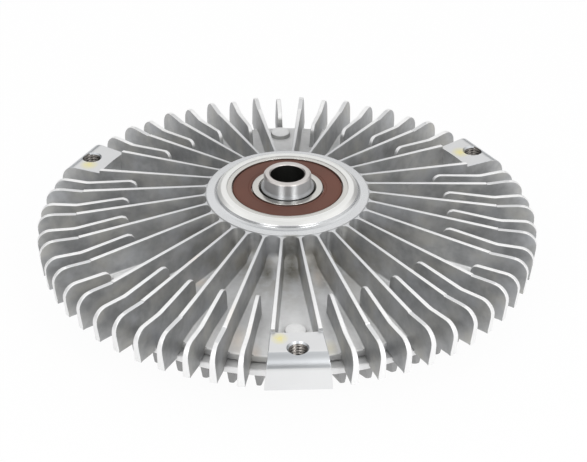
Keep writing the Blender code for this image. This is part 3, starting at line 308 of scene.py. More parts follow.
def fin_column(top, foot, edge, fillet, surface, half_width):
    """(half width, r, z) of each row of one column, from its edge to its root."""
    length = math.dist(top, foot)
    depth = root_depth(top, foot, surface)
    edge = min(edge, 0.3 * (depth or length))
    rows = [
        (edge * (1 - math.cos(a)), -edge * (1 - math.sin(a)))
        for a in map(math.radians, EDGE_TURNS)
    ]
    if depth:
        fillet = min(fillet, 0.45 * depth)
        last = depth - fillet
        foot_rows = [
            (depth - fillet * (1 - math.sin(a)), fillet * (1 - math.cos(a)))
            for a in map(math.radians, FOOT_TURNS)
        ]
        foot_rows.append((length, fillet))
    else:
        last = length - edge
        foot_rows = [
            (length - edge * (1 - math.cos(a)), -edge * (1 - math.sin(a)))
            for a in map(math.radians, reversed(FOOT_TURNS))
        ]
        foot_rows.append((length, -1.5 * edge))
    for share in (1 / 3, 2 / 3):
        rows.append((edge + (last - edge) * share, 0.0))
    rows += foot_rows
    placed = []
    for distance, extra in rows:
        share = distance / length
        r = top[0] + (foot[0] - top[0]) * share
        z = top[1] + (foot[1] - top[1]) * share
        placed.append((max(0.05, half_width(r, z) + extra), r, z))
    return placed


def fin_solid(columns, fillet, surface, half_width, angle):
    """Vertices and faces of a fin whose columns are (edge point, root point, edge radius)."""
    verts, faces = [], []
    loops = []
    for top, foot, edge in columns:
        rows = fin_column(top, foot, edge, fillet, surface, half_width)
        right = [(r, -half, z) for half, r, z in rows]
        left = [(r, half, z) for half, r, z in reversed(rows)]
        loops.append(list(range(len(verts), len(verts) + len(right + left))))
        for r, y, z in right + left:
            x = r * math.cos(angle) - y * math.sin(angle)
            y = r * math.sin(angle) + y * math.cos(angle)
            verts.append((x, y, z))
    for near, far in zip(loops, loops[1:]):
        for i in range(len(near)):
            j = (i + 1) % len(near)
            faces.append([near[i], near[j], far[j], far[i]])
    faces.append(loops[0][::-1])
    faces.append(loops[-1])
    return verts, faces


print("a column has", len(EDGE_TURNS) + len(FOOT_TURNS) + 3, "rows on each side")

# %% [markdown]
# ## The rear housing's body
# The rear housing is the big casting with the bearing in its hub. Its round body is a
# stepped disc: a flat turned rim round the bearing, a wall down to a gently sloping
# floor, and a knee to the edge that sits on the cover. Inside is the rotor's chamber.

# %% Housing body
HUB_RADIUS = 33.7
HUB_FACE_RADIUS = 27.4
HUB_SHOULDER_RADIUS = 29.0
HUB_STEP_RADIUS = 30.1
HUB_FOOT_DROP = 13.4
DISC_KNEE_RADIUS = 80.0
DISC_KNEE_DROP = 17.4
RIM_RADIUS = 88.6
RIM_DROP = 19.6
RIM_UNDERCUT = 0.8
RIM_GAP = 0.75  # a thin shadow line above the cover's flange
CHAMBER_RADIUS = 68.0
CHAMBER_TO_RIM = 18.9
SPIGOT_RADIUS = 71.6
CEILING_Z = RIM_Z - CHAMBER_TO_RIM
CEILING_INNER_RADIUS = 46.8
RIDGE_RADII = (53.8, 61.4)
RIDGE_HALF_WIDTH = 1.6
RIDGE_DEPTH = 3.1
BORE_RADIUS = 21.5  # under the bearing, where the shaft's collar passes
BODY_STEPS = 240
BURIED = 1.0  # how far a fin's root goes into the wall that it grows from


def disc_top(r):
    if r > RIM_RADIUS:
        return None
    if r <= DISC_KNEE_RADIUS:
        share = (r - HUB_RADIUS) / (DISC_KNEE_RADIUS - HUB_RADIUS)
        return RIM_Z - HUB_FOOT_DROP - (DISC_KNEE_DROP - HUB_FOOT_DROP) * share
    share = (r - DISC_KNEE_RADIUS) / (RIM_RADIUS - DISC_KNEE_RADIUS)
    return RIM_Z - DISC_KNEE_DROP - (RIM_DROP - DISC_KNEE_DROP) * share


def ridge_points():
    """The chamber's ceiling, with a ridge outside each of the rotor's ring lands."""
    points = []
    low = CEILING_Z - RIDGE_DEPTH
    for middle in RIDGE_RADII:
        inner, outer = middle - RIDGE_HALF_WIDTH, middle + RIDGE_HALF_WIDTH
        points += [(inner, CEILING_Z), (inner, low), (outer, low), (outer, CEILING_Z)]
    return points


def housing_body():
    seat = BEARING_RADIUS + 0.2
    lip = BEARING_RADIUS - 0.98
    corners = [
        (lip, BEARING_TOP_Z + 0.1, 0.1),
        (HUB_FACE_RADIUS, BEARING_TOP_Z + 0.1, 1.2),
        (HUB_SHOULDER_RADIUS, RIM_Z + 1.3, 0.6),
        (HUB_SHOULDER_RADIUS + 0.3, RIM_Z + 0.4, 0.3),
        (HUB_STEP_RADIUS, RIM_Z, 0.5),
        (HUB_RADIUS, RIM_Z, 0.55),
        (HUB_RADIUS, RIM_Z - HUB_FOOT_DROP, 6.5),
        (DISC_KNEE_RADIUS, RIM_Z - DISC_KNEE_DROP, 6.0),
        (RIM_RADIUS, RIM_Z - RIM_DROP, 1.3),
        (RIM_RADIUS, JOINT_Z + RIM_GAP, 0.3),
        (RIM_RADIUS - RIM_UNDERCUT, JOINT_Z, 0.2),
        (SPIGOT_RADIUS, JOINT_Z, 0.2),
        (SPIGOT_RADIUS, SPIGOT_Z, 0.4),
        (CHAMBER_RADIUS, SPIGOT_Z, 0.3),
        (CHAMBER_RADIUS, CEILING_Z, 0.5),
        *reversed(ridge_points()),
        (CEILING_INNER_RADIUS, CEILING_Z, 0.6),
        (CEILING_INNER_RADIUS - 1.0, CEILING_Z + 1.8),
        (BORE_RADIUS + 2.5, BEARING_Z - 2.2, 0.5),
        (BORE_RADIUS, BEARING_Z - 2.2, 0.3),
        (BORE_RADIUS, BEARING_Z - 0.2, 0.2),
        (seat, BEARING_Z - 0.2, 0.3),
        (seat, BEARING_TOP_Z - 1.0, 0.2),
        (lip, BEARING_TOP_Z + 0.02),
    ]
    return turn(rounded(corners), BODY_STEPS)


housing = new_object("housing_casting", *housing_body())
print("housing body:", len(housing.data.polygons), "faces")

# %% [markdown]
# ## The housing's fins
# Sixty places lie round the disc. At every second place a long fin runs from the hub to
# the edge, and its outer end was turned flat on a lathe, which left sharp corners there.
# The short fins between them are as cast, so all their edges are round.

# %% Housing fins
FIN_COUNT = 60
FIN_TOP = 1.15
FIN_DRAFT = 0.08
FIN_FILLET = 0.8
HUB_FLARE = 1.8  # the fins widen where they leave the hub
FIN_ROOT_DROP = 0.7
KNEE_RADIUS = 87.0
TURNED_DROP = 9.1
TURNED_STEP = 0.45  # how much the lathe took off the fins' ends
CAST_DROP = 10.2
FOOT_DROP = 24.3
FIN_FOOT_RADIUS = 102.4
FIN_INSIDE = 93.0  # under the overhang, the fins stay clear of the cover's flange
OUTER_ROUND = 6.4
NOSE_ROUND = 2.8
SOFT_EDGE = 0.34
SHARP_EDGE = 0.08
COLUMNS = 20  # along each half of a fin's edge


def fin_top(r):
    share = (r - HUB_RADIUS) / (KNEE_RADIUS - HUB_RADIUS)
    return RIM_Z - FIN_ROOT_DROP - (TURNED_DROP - TURNED_STEP - FIN_ROOT_DROP) * share


def fin_half_width(r, z):
    half = (FIN_TOP + FIN_DRAFT * (RIM_Z - FIN_ROOT_DROP - z)) / 2
    near = 1 - max(0.0, r - HUB_RADIUS) / HUB_FLARE
    if near > 0:
        half += HUB_FLARE * (1 - math.sqrt(1 - min(1.0, near) ** 2))
    return half


def buried_root(r):
    return (r, disc_top(r) - BURIED)


def outer_columns(top_z, edge_on_top):
    """Columns from above the rim, round the outer edge, to the fin's foot."""
    edge_line = rounded(
        [
            (RIM_RADIUS + 0.3, top_z),
            (FIN_RADIUS + 0.6, top_z, OUTER_ROUND),
            (FIN_FOOT_RADIUS, RIM_Z - FOOT_DROP),
        ],
        10,
    )
    root_line = [
        (RIM_RADIUS + 0.3, JOINT_Z + 0.4),
        (FIN_INSIDE, JOINT_Z),
        (FIN_INSIDE, RIM_Z - FOOT_DROP),
        (FIN_FOOT_RADIUS - 0.6, RIM_Z - FOOT_DROP),
    ]
    edges = resample(edge_line, COLUMNS)
    roots = resample(root_line, COLUMNS)
    columns = []
    for edge_point, root in zip(edges, roots):
        on_top = edge_point[1] > top_z - 0.01
        columns.append((edge_point, root, edge_on_top if on_top else SOFT_EDGE))
    return columns


def long_fin(ends_at_lug):
    turns = map(math.radians, (90, 65, 45, 25, 0))
    flare = [HUB_RADIUS + HUB_FLARE * (1 - math.sin(a)) for a in turns]
    columns = []
    for r in (HUB_RADIUS - BURIED, *flare, 48.0, 64.0, DISC_KNEE_RADIUS, KNEE_RADIUS - 0.4):
        columns.append(((r, fin_top(max(r, HUB_RADIUS))), buried_root(r), SOFT_EDGE))
    if ends_at_lug:
        return columns
    turned = RIM_Z - TURNED_DROP
    for r, z in (
        (KNEE_RADIUS - 0.05, turned + TURNED_STEP),
        (KNEE_RADIUS + 0.25, turned + 0.1),
        (KNEE_RADIUS + 0.35, turned),
        (RIM_RADIUS - 0.3, turned),
    ):
        columns.append(((r, z), buried_root(r), SHARP_EDGE))
    return columns + outer_columns(turned, SHARP_EDGE)


def short_fin(inner):
    cast = RIM_Z - CAST_DROP
    slope = [(inner, fin_top(inner), NOSE_ROUND), (KNEE_RADIUS + 1.0, cast, 8.0)]
    if inner > DISC_KNEE_RADIUS:
        slope = [(inner, cast, NOSE_ROUND)]
    start = (inner - 0.2, disc_top(inner) - 0.4)
    edge_line = rounded([start, *slope, (RIM_RADIUS + 0.3, cast)], 5)[:-1]
    edges = resample(edge_line, COLUMNS)
    root_line = [(inner + 0.3, disc_top(inner + 0.3) - BURIED)]
    if inner < DISC_KNEE_RADIUS:
        root_line.append(buried_root(DISC_KNEE_RADIUS))
    root_line.append(buried_root(RIM_RADIUS - 0.4))
    roots = resample(root_line, COLUMNS)
    columns = [(edge_point, root, SOFT_EDGE) for edge_point, root in zip(edges, roots)]
    return columns + outer_columns(cast, SOFT_EDGE)


print("a long fin has", len(long_fin(False)), "columns")

# %% [markdown]
# A fan lug takes every twentieth place. The two long fins beside it end at the lug, and
# halfway between two lugs the short fin starts behind a screw boss.

# %% Place the fins
SHORT_FIN_INNER = 65.7
BOSS_FIN_INNER = 82.8
LUG_EVERY = FIN_COUNT // 3
fin_parts = []
for i in range(FIN_COUNT):
    place = i % LUG_EVERY
    if i % 2:
        columns = long_fin(place in (1, LUG_EVERY - 1))
    elif place == LUG_EVERY // 2:
        columns = short_fin(BOSS_FIN_INNER)
    elif place:
        columns = short_fin(SHORT_FIN_INNER)
    else:
        continue
    angle = math.radians(-90) + 2 * math.pi * i / FIN_COUNT
    fin_parts.append(fin_solid(columns, FIN_FILLET, disc_top, fin_half_width, angle))
fins = new_object("fins", *gather(fin_parts))
print(len(fin_parts), "fins with", len(fins.data.polygons), "faces")
combine(housing, "UNION", fins)

# %% [markdown]
# ## Fan lugs, bosses and holes
# Three thick lugs carry the fan. They are cast with the housing, and like the fins they
# have draft and a round outer edge. Their inner faces are square to the disc's floor.

# %% Lugs
LUG_DROP = 9.9
LUG_INNER = 86.3
LUG_INNER_WIDTH = 19.95
LUG_OUTER_WIDTH = 23.4
LUG_INNER_DRAFT = 0.04  # the same as the fins that run into it
LUG_OUTER_DRAFT = 0.09
LUG_ROUND = 6.0
LUG_FACE_HEIGHT = 13.8
LUG_TOP_Z = RIM_Z - LUG_DROP


def lug_half_width(r, z):
    share = (r - LUG_INNER) / (FIN_RADIUS - LUG_INNER)
    width = LUG_INNER_WIDTH + (LUG_OUTER_WIDTH - LUG_INNER_WIDTH) * share
    draft = LUG_INNER_DRAFT + (LUG_OUTER_DRAFT - LUG_INNER_DRAFT) * share
    return width / 2 + draft * (LUG_TOP_Z - z)


def lug_columns():
    edge_line = rounded(
        [
            (LUG_INNER - 0.8, disc_top(LUG_INNER)),
            (LUG_INNER - 0.8, LUG_TOP_Z, 0.1),
            (FIN_RADIUS, LUG_TOP_Z, LUG_ROUND),
            (FIN_RADIUS, LUG_TOP_Z - LUG_FACE_HEIGHT),
            (FIN_FOOT_RADIUS, RIM_Z - FOOT_DROP),
        ],
        10,
    )
    root_line = [
        (LUG_INNER - 0.3, disc_top(LUG_INNER) - BURIED),
        (RIM_RADIUS - 0.5, JOINT_Z + 0.5),
        (FIN_INSIDE, JOINT_Z),
        (FIN_INSIDE, RIM_Z - FOOT_DROP),
        (FIN_FOOT_RADIUS - 0.6, RIM_Z - FOOT_DROP),
    ]
    roots = resample(root_line, len(edge_line))
    return [(point, root, 0.25) for point, root in zip(edge_line, roots)]


def no_surface(r):
    return None


lug_parts = []
for i in range(3):
    angle = math.radians(-90 + 120 * i)
    lug_parts.append(fin_solid(lug_columns(), 0.0, no_surface, lug_half_width, angle))
lugs = new_object("lugs", *gather(lug_parts))
foot_z = disc_top(LUG_INNER) - 0.2
inside = rounded([(0, RIM_Z), (LUG_INNER, RIM_Z), (LUG_INNER, foot_z, 0.8), (0, foot_z)])
combine(lugs, "DIFFERENCE", new_object("inside", *turn(inside, BODY_STEPS, False)))
combine(housing, "UNION", lugs)

print("three lugs reach", FIN_RADIUS, "mm")

# %% [markdown]
# A wide cutter faces the top of each lug, so that the fan sits flat. It also trims the
# ends of the two fins beside the lug.

# %% Milled lug tops
MILL_HALF_ANGLE = 7.2
MILL_STEPS = 12
mill_profile = [
    (LUG_INNER - 0.05, LUG_TOP_Z),
    (FIN_RADIUS + 2, LUG_TOP_Z),
    (FIN_RADIUS + 2, RIM_Z),
    (LUG_INNER - 0.05, RIM_Z),
]
mill_parts = []
for i in range(3):
    verts, faces = [], []
    for step in range(MILL_STEPS + 1):
        turned_by = MILL_HALF_ANGLE * (2 * step / MILL_STEPS - 1)
        angle = math.radians(-90 + 120 * i + turned_by)
        verts += [(r * math.cos(angle), r * math.sin(angle), z) for r, z in mill_profile]
    for step in range(MILL_STEPS):
        here = 4 * step
        for side in range(4):
            after = (side + 1) % 4
            faces.append([here + side, here + after, here + 4 + after, here + 4 + side])
    faces += [[0, 1, 2, 3], [4 * MILL_STEPS + side for side in (3, 2, 1, 0)]]
    mill_parts.append((verts, faces))
combine(housing, "DIFFERENCE", new_object("mill", *gather(mill_parts)))

print("lug tops are level at", round(LUG_TOP_Z, 2), "mm")

# %% [markdown]
# Six low round bosses give depth to the blind holes of the cover's screws, which come
# from the other side. They lie on one circle, sixty degrees apart.

# %% Screw bosses
SCREW_CIRCLE = 77.0
SCREW_HOLE_RADIUS = 2.75
BOSS_RADIUS = 4.2
BOSS_DROP = 15.0
boss_profile = rounded(
    [
        (0, RIM_Z - BOSS_DROP),
        (BOSS_RADIUS, RIM_Z - BOSS_DROP, 0.5),
        (BOSS_RADIUS + 0.2, CEILING_Z + 1.0),
        (0, CEILING_Z + 1.0),
    ]
)
boss_parts = [turn(boss_profile, 48, False, place) for place in on_circle(SCREW_CIRCLE, 6)]
combine(housing, "UNION", new_object("bosses", *gather(boss_parts)))
print("housing with lugs and bosses:", len(housing.data.polygons), "faces")

# %% [markdown]
# A tapped hole is cut by a plug that carries the thread: its radius rises and falls once
# for each turn of the screw, which gives a true helix. The mouth is countersunk, so that
# a screw starts easily.

# %% Tapped holes
LUG_HOLE_RADIUS = 3.4
LUG_HOLE_CIRCLE = 96.0
LUG_COUNTERSINK = 4.3
THREAD_PITCH = 1.25
THREAD_DEPTH = 0.6
THREAD_STEPS = 40
ROWS_PER_TURN = 8


def threaded_plug(centre, top, foot):
    rows = round((top - foot) / THREAD_PITCH * ROWS_PER_TURN)
    verts, faces = [], []
    for row in range(rows + 1):
        z = top - (top - foot) * row / rows
        for i in range(THREAD_STEPS):
            wave = abs(((z / THREAD_PITCH + i / THREAD_STEPS) % 1.0) * 2 - 1)
            r = LUG_HOLE_RADIUS + THREAD_DEPTH * wave
            angle = 2 * math.pi * i / THREAD_STEPS
            verts.append((centre[0] + r * math.cos(angle), centre[1] + r * math.sin(angle), z))
    for row in range(rows):
        for i in range(THREAD_STEPS):
            j = (i + 1) % THREAD_STEPS
            here = row * THREAD_STEPS
            below = here + THREAD_STEPS
            faces.append([here + i, below + i, below + j, here + j])
    faces.append(list(range(THREAD_STEPS))[::-1])
    faces.append(list(range(rows * THREAD_STEPS, (rows + 1) * THREAD_STEPS)))
    return verts, faces


plugs, sinks = [], []
hole_foot = RIM_Z - FOOT_DROP - 1.0
flare = LUG_COUNTERSINK - LUG_HOLE_RADIUS
sink_profile = [
    (0, LUG_TOP_Z + 1.0),
    (LUG_COUNTERSINK + 1.0, LUG_TOP_Z + 1.0),
    (LUG_HOLE_RADIUS, LUG_TOP_Z - flare),
    (0, LUG_TOP_Z - flare),
]
for place in on_circle(LUG_HOLE_CIRCLE, 3):
    plugs.append(threaded_plug(place, LUG_TOP_Z + 0.5, hole_foot))
    sinks.append(turn(sink_profile, 64, False, place))
combine(housing, "DIFFERENCE", new_object("plugs", *gather(plugs)))
combine(housing, "DIFFERENCE", new_object("sinks", *gather(sinks)))

blind = [
    (0, JOINT_Z + 6.0),
    (SCREW_HOLE_RADIUS, JOINT_Z + 5.0),
    (SCREW_HOLE_RADIUS, JOINT_Z - 1.0),
    (0, JOINT_Z - 1.0),
]
blinds = [turn(blind, 24, False, place) for place in on_circle(SCREW_CIRCLE, 6)]
combine(housing, "DIFFERENCE", new_object("blinds", *gather(blinds)))
settle(housing)
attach(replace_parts(housing, "rear_housing"), "housing")
print("housing casting:", len(housing.data.polygons), "faces")

# %% [markdown]
# ## The front cover
# The cover closes the clutch towards the radiator, and it has fins of its own that stir
# the air there. They are drafted and as cast. Its flange shows in the photograph as a
# bright band under the housing's fins, with a dark gap above it.

# %% Cover body
FLANGE_RADIUS = cover_high.x
FLANGE_TOP_Z = cover_high.z
FLANGE_Z = FLANGE_TOP_Z - 3.0
COVER_OUTER_Z = 6.5
RESERVOIR_Z = COVER_OUTER_Z + 3.0
PLATE_SEAT_Z = RESERVOIR_Z + 4.7
RESERVOIR_RADIUS = 69.0
COVER_SHOULDER_RADIUS = 88.5
COVER_DISH_RADIUS = 72.0
SEAL_GROOVE = 1.64
cover_profile = rounded(
    [
        (0, RESERVOIR_Z),
        (RESERVOIR_RADIUS - 3.0, RESERVOIR_Z, 1.0),
        (RESERVOIR_RADIUS, RESERVOIR_Z + 2.0, 1.0),
        (RESERVOIR_RADIUS, PLATE_SEAT_Z, 0.2),
        (SPIGOT_RADIUS + SEAT_GAP, PLATE_SEAT_Z, 0.3),
        (SPIGOT_RADIUS + SEAT_GAP, JOINT_Z - SEAL_GROOVE, 0.2),
        (SPIGOT_RADIUS + SEAL_GROOVE, JOINT_Z - SEAL_GROOVE, 0.3),
        (SPIGOT_RADIUS + SEAL_GROOVE, FLANGE_TOP_Z, 0.2),
        (FLANGE_RADIUS, FLANGE_TOP_Z, 0.5),
        (FLANGE_RADIUS, FLANGE_Z, 0.6),
        (COVER_SHOULDER_RADIUS, FLANGE_Z, 1.5),
        (COVER_DISH_RADIUS, COVER_OUTER_Z, 4.0),
        (0, COVER_OUTER_Z),
    ]
)
cover = new_object("cover_casting", *turn(cover_profile, BODY_STEPS, False))
print("cover body:", len(cover.data.polygons), "faces")

# %% [markdown]
# The cover's fins hang down. Every second one reaches further in, where there is room
# between the screws.

# %% Cover fins
COVER_FIN_COUNT = 54
COVER_FIN_OFFSET = 4.28
COVER_TIP_RADIUS = 92.0
COVER_FIN_FLAT_RADIUS = 65.0
COVER_FIN_TIP_Z = FLANGE_Z - 5.2
COVER_FIN_TOP = 1.7
COVER_FIN_DRAFT = 0.15
COVER_FIN_COLUMNS = 30
LONG_COVER_FIN, SHORT_COVER_FIN = 30.0, 54.0  # radii where they begin


def cover_underside(r):
    if r <= COVER_DISH_RADIUS:
        return COVER_OUTER_Z
    share = (r - COVER_DISH_RADIUS) / (COVER_SHOULDER_RADIUS - COVER_DISH_RADIUS)
    return COVER_OUTER_Z + (FLANGE_Z - COVER_OUTER_Z) * min(1.0, share)


def cover_fin_edge(r):
    share = (r - COVER_FIN_FLAT_RADIUS) / (COVER_TIP_RADIUS - COVER_FIN_FLAT_RADIUS)
    return max(0.0, COVER_FIN_TIP_Z * share)


def flipped_underside(r):
    return -cover_underside(r)


def cover_half_width(r, z):
    return COVER_FIN_TOP / 2 + COVER_FIN_DRAFT * (-z - cover_fin_edge(r))


def cover_fin(inner, angle):
    """A fin that hangs down: it is built upside down and then turned over."""
    edge_line = rounded(
        [
            (inner, -cover_underside(inner) - 0.4),
            (inner + 1.2, 0, 2.0),
            (COVER_FIN_FLAT_RADIUS, 0, 6.0),
            (COVER_TIP_RADIUS, -COVER_FIN_TIP_Z, 1.8),
            (COVER_TIP_RADIUS, -FLANGE_Z - 0.4),
        ],
        5,
    )
    root_line = [
        (inner + 0.4, -COVER_OUTER_Z - BURIED),
        (COVER_DISH_RADIUS, -COVER_OUTER_Z - BURIED),
        (COVER_SHOULDER_RADIUS, -FLANGE_Z - BURIED),
        (COVER_TIP_RADIUS - 0.5, -FLANGE_Z - BURIED),
    ]
    edges = resample(edge_line, COVER_FIN_COLUMNS)
    roots = resample(root_line, COVER_FIN_COLUMNS)
    columns = [(edge_point, root, 0.5) for edge_point, root in zip(edges, roots)]
    verts, faces = fin_solid(columns, 1.0, flipped_underside, cover_half_width, angle)
    return [(x, y, -z) for x, y, z in verts], faces


cover_fins = []
for i in range(COVER_FIN_COUNT):
    angle = math.radians(-90 + COVER_FIN_OFFSET) + 2 * math.pi * i / COVER_FIN_COUNT
    cover_fins.append(cover_fin(SHORT_COVER_FIN if i % 2 else LONG_COVER_FIN, angle))
combine(cover, "UNION", new_object("cover_fins", *gather(cover_fins)))
print("cover with fins:", len(cover.data.polygons), "faces")

# %% [markdown]
# The middle of the cover carries the thermostat: a boss with a bore for the little
# spindle, and a slotted post that holds the outer end of the bimetal coil. The post is
# two bevelled blocks with the slot between them.

# %% Spindle boss and post
SPINDLE_BOSS_RADIUS = 7.5
BOSS_TOP_Z = PLATE_SEAT_Z - 2.4
ANCHOR_RADIUS, ANCHOR_SIZE, ANCHOR_FOOT = 16.0, 4.4, 0.8
SLOT_WIDTH = 1.5
COIL_TURNS = 3.25
spindle_boss = rounded(
    [
        (0, BOSS_TOP_Z),
        (SPINDLE_BOSS_RADIUS, BOSS_TOP_Z, 0.6),
        (SPINDLE_BOSS_RADIUS, RESERVOIR_Z - 1.0),
        (0, RESERVOIR_Z - 1.0),
    ]
)
combine(cover, "UNION", new_object("spindle_boss", *turn(spindle_boss, 64, False)))

bm = bmesh.new()
post_height = COVER_OUTER_Z + 1.0 - ANCHOR_FOOT
for side in (1, -1):
    size = Matrix.Diagonal((ANCHOR_SIZE, ANCHOR_SIZE / 2, post_height, 1))
    middle = Vector((ANCHOR_RADIUS + ANCHOR_SIZE / 2, 0, ANCHOR_FOOT + post_height / 2))
    middle.y = side * (SLOT_WIDTH + ANCHOR_SIZE / 2) / 2
    bmesh.ops.create_cube(bm, size=1, matrix=Matrix.Translation(middle) @ size)
bmesh.ops.bevel(bm, geom=bm.edges[:], offset=0.35, segments=3, profile=0.5, affect="EDGES")
coil_end = Matrix.Rotation(2 * math.pi * COIL_TURNS, 4, "Z")
bmesh.ops.transform(bm, matrix=coil_end, verts=bm.verts)
bm.verts.index_update()
post_faces = [[v.index for v in face.verts] for face in bm.faces]
post = new_object("post", [v.co[:] for v in bm.verts], post_faces)
bm.free()
combine(cover, "UNION", post)

print("cover with boss and post:", len(cover.data.polygons), "faces")

# %% [markdown]
# Six deep pockets let the screw heads sink between the fins. The screw holes and the
# spindle's bore are drilled last.

# %% Pockets and bores
SCREW_SEAT_Z = FLANGE_TOP_Z - 6.0
POCKET_RADIUS = 4.85
SPINDLE_BORE = 3.35


def drill(radius, top, foot, steps, place=(0.0, 0.0)):
    """A plain round tool, from one level down to another."""
    outline = [(0, top), (radius, top), (radius, foot), (0, foot)]
    return turn(outline, steps, False, place)


pocket = rounded(
    [
        (0, SCREW_SEAT_Z),
        (POCKET_RADIUS, SCREW_SEAT_Z, 0.3),
        (POCKET_RADIUS, -1.0),
        (0, -1.0),
    ]
)
places = on_circle(SCREW_CIRCLE, 6)
pockets = [turn(pocket, 48, False, place) for place in places]
hole_top, hole_low = FLANGE_TOP_Z + 1.0, SCREW_SEAT_Z - 0.1
holes = [drill(SCREW_HOLE_RADIUS, hole_top, hole_low, 32, place) for place in places]
bore = drill(SPINDLE_BORE, BOSS_TOP_Z + 1.0, COVER_OUTER_Z - 1.0, 48)
combine(cover, "DIFFERENCE", new_object("pockets", *gather(pockets)))
combine(cover, "DIFFERENCE", new_object("holes", *gather(holes)))
combine(cover, "DIFFERENCE", new_object("bore", *bore))
settle(cover)
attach(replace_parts(cover, "front_cover"), "housing")
print("cover casting, painted shade:", len(cover.data.polygons), "faces")

# %% [markdown]
# ## Input stub
# The engine drives the stub in the middle. It is turned and ground steel with a small
# bright chamfer, a bore that is open for about a finger's width, and then a narrower
# hole. Its lower end holds the rotor.

# %% Stub
STUB_RADIUS = 9.75
STUB_BORE_RADIUS = 7.0
STUB_CHAMFER = 0.6
STUB_FLARE_RADIUS = 10.85
STUB_BORE_DEPTH = 17.0
THREAD_HOLE_RADIUS = 4.25
THREAD_HOLE_DEPTH = 13.0
ROTOR_Z = shaft_low.z
ROTOR_SEAT_RADIUS = 11.0
JOURNAL_RADIUS = 10.0  # inside the bearing
COLLAR_RADIUS = 12.8
COLLAR_Z = BEARING_Z - 0.2
COLLAR_FOOT_Z = COLLAR_Z - 2.6
TURNED_STEPS = 256

bore_foot = STUB_TOP_Z - STUB_BORE_DEPTH
thread_foot = bore_foot - THREAD_HOLE_DEPTH
stub_profile = rounded(
    [
        (0, thread_foot - THREAD_HOLE_RADIUS / 2),
        (THREAD_HOLE_RADIUS, thread_foot),
        (THREAD_HOLE_RADIUS, bore_foot - 1.5),
        (STUB_BORE_RADIUS, bore_foot, 0.4),
        (STUB_BORE_RADIUS, STUB_TOP_Z - 0.5, 0.15),
        (STUB_BORE_RADIUS + 0.5, STUB_TOP_Z, 0.12),
        (STUB_RADIUS - STUB_CHAMFER, STUB_TOP_Z, 0.15),
        (STUB_RADIUS, STUB_TOP_Z - STUB_CHAMFER, 0.15),
        (STUB_RADIUS, BEARING_TOP_Z + 0.75, 0.5),
        (STUB_FLARE_RADIUS, BEARING_TOP_Z + 0.3, 0.15),
        (STUB_FLARE_RADIUS, BEARING_TOP_Z - 0.15, 0.1),
        (JOURNAL_RADIUS, BEARING_TOP_Z - 1.3, 0.1),
        (JOURNAL_RADIUS, COLLAR_Z, 0.2),
        (COLLAR_RADIUS, COLLAR_Z, 0.3),
        (COLLAR_RADIUS, COLLAR_FOOT_Z, 0.3),
        (ROTOR_SEAT_RADIUS, COLLAR_FOOT_Z, 0.2),
        (ROTOR_SEAT_RADIUS, ROTOR_Z + 0.8, 0.2),
        (ROTOR_SEAT_RADIUS - 0.8, ROTOR_Z, 0.2),
        (0, ROTOR_Z),
    ]
)
stub = new_object("input_stub", *turn(stub_profile, TURNED_STEPS, False))
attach(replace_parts(stub, "input_shaft"), "shaft")
print("stub:", len(stub.data.polygons), "faces")

# %% [markdown]
# ## Bearing
# A sealed ball bearing carries the whole clutch. Its rings are hardened and ground, with
# a chamfer at each corner. The grooves that the balls run in are part of the same turned
# profiles.

# %% Bearing rings
CHAMFER = 1.1
PITCH_RADIUS = 18.25
BALL_DIAMETER = 9.525
GROOVE_RADIUS = BALL_DIAMETER / 2 + 0.22
INNER_RING_BORE = 10.2
RING_STEP = 1.7
middle_z = (BEARING_TOP_Z + BEARING_Z) / 2


def groove(land, outward):
    reach = math.sqrt(GROOVE_RADIUS**2 - (land - PITCH_RADIUS) ** 2)
    half = math.asin(min(1.0, reach / GROOVE_RADIUS))
    side = 1 if outward else -1
    angles = [half - 2 * half * i / 12 for i in range(13)]
    return [
        (PITCH_RADIUS + side * GROOVE_RADIUS * math.cos(a), middle_z + GROOVE_RADIUS * math.sin(a))
        for a in angles
    ]


outer_land, inner_land = 21.5, 15.0
outer_step, inner_step = outer_land + 1.4, inner_land - 0.5
outer_profile = rounded(
    [
        (BEARING_RADIUS - CHAMFER, BEARING_TOP_Z, 0.3),
        (BEARING_RADIUS, BEARING_TOP_Z - CHAMFER, 0.3),
        (BEARING_RADIUS, BEARING_Z + CHAMFER, 0.3),
        (BEARING_RADIUS - CHAMFER, BEARING_Z, 0.3),
        (outer_step, BEARING_Z, 0.15),
        (outer_step, BEARING_Z + RING_STEP),
        (outer_land, BEARING_Z + RING_STEP),
        *reversed(groove(outer_land, True)),
        (outer_land, BEARING_TOP_Z - RING_STEP),
        (outer_step, BEARING_TOP_Z - RING_STEP),
        (outer_step, BEARING_TOP_Z, 0.15),
    ]
)
inner_profile = rounded(
    [
        (inner_step, BEARING_TOP_Z, 0.15),
        (inner_step, BEARING_TOP_Z - RING_STEP),
        (inner_land, BEARING_TOP_Z - RING_STEP),
        *groove(inner_land, False),
        (inner_land, BEARING_Z + RING_STEP),
        (inner_step, BEARING_Z + RING_STEP),
        (inner_step, BEARING_Z, 0.15),
        (INNER_RING_BORE + 1.4, BEARING_Z, 0.3),
        (INNER_RING_BORE, BEARING_Z + 1.4, 0.3),
        (INNER_RING_BORE, BEARING_TOP_Z - 1.6, 0.3),
        (INNER_RING_BORE + 1.55, BEARING_TOP_Z - 0.4, 0.2),
        (INNER_RING_BORE + 1.7, BEARING_TOP_Z, 0.12),
    ]
)
outer_ring = new_object("outer_ring", *turn(outer_profile, TURNED_STEPS))
inner_ring = new_object("inner_ring", *turn(inner_profile, TURNED_STEPS))
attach(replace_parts(outer_ring, "bearing_outer_ring"), "housing")
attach(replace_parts(inner_ring, "bearing_inner_ring"), "shaft")

print("outer ring:", len(outer_ring.data.polygons), "faces")

# %% [markdown]
# The red-brown seal sits in the step of the outer ring, a little below the rings' faces.
# Two fine grooves are moulded in it, one near each ring.

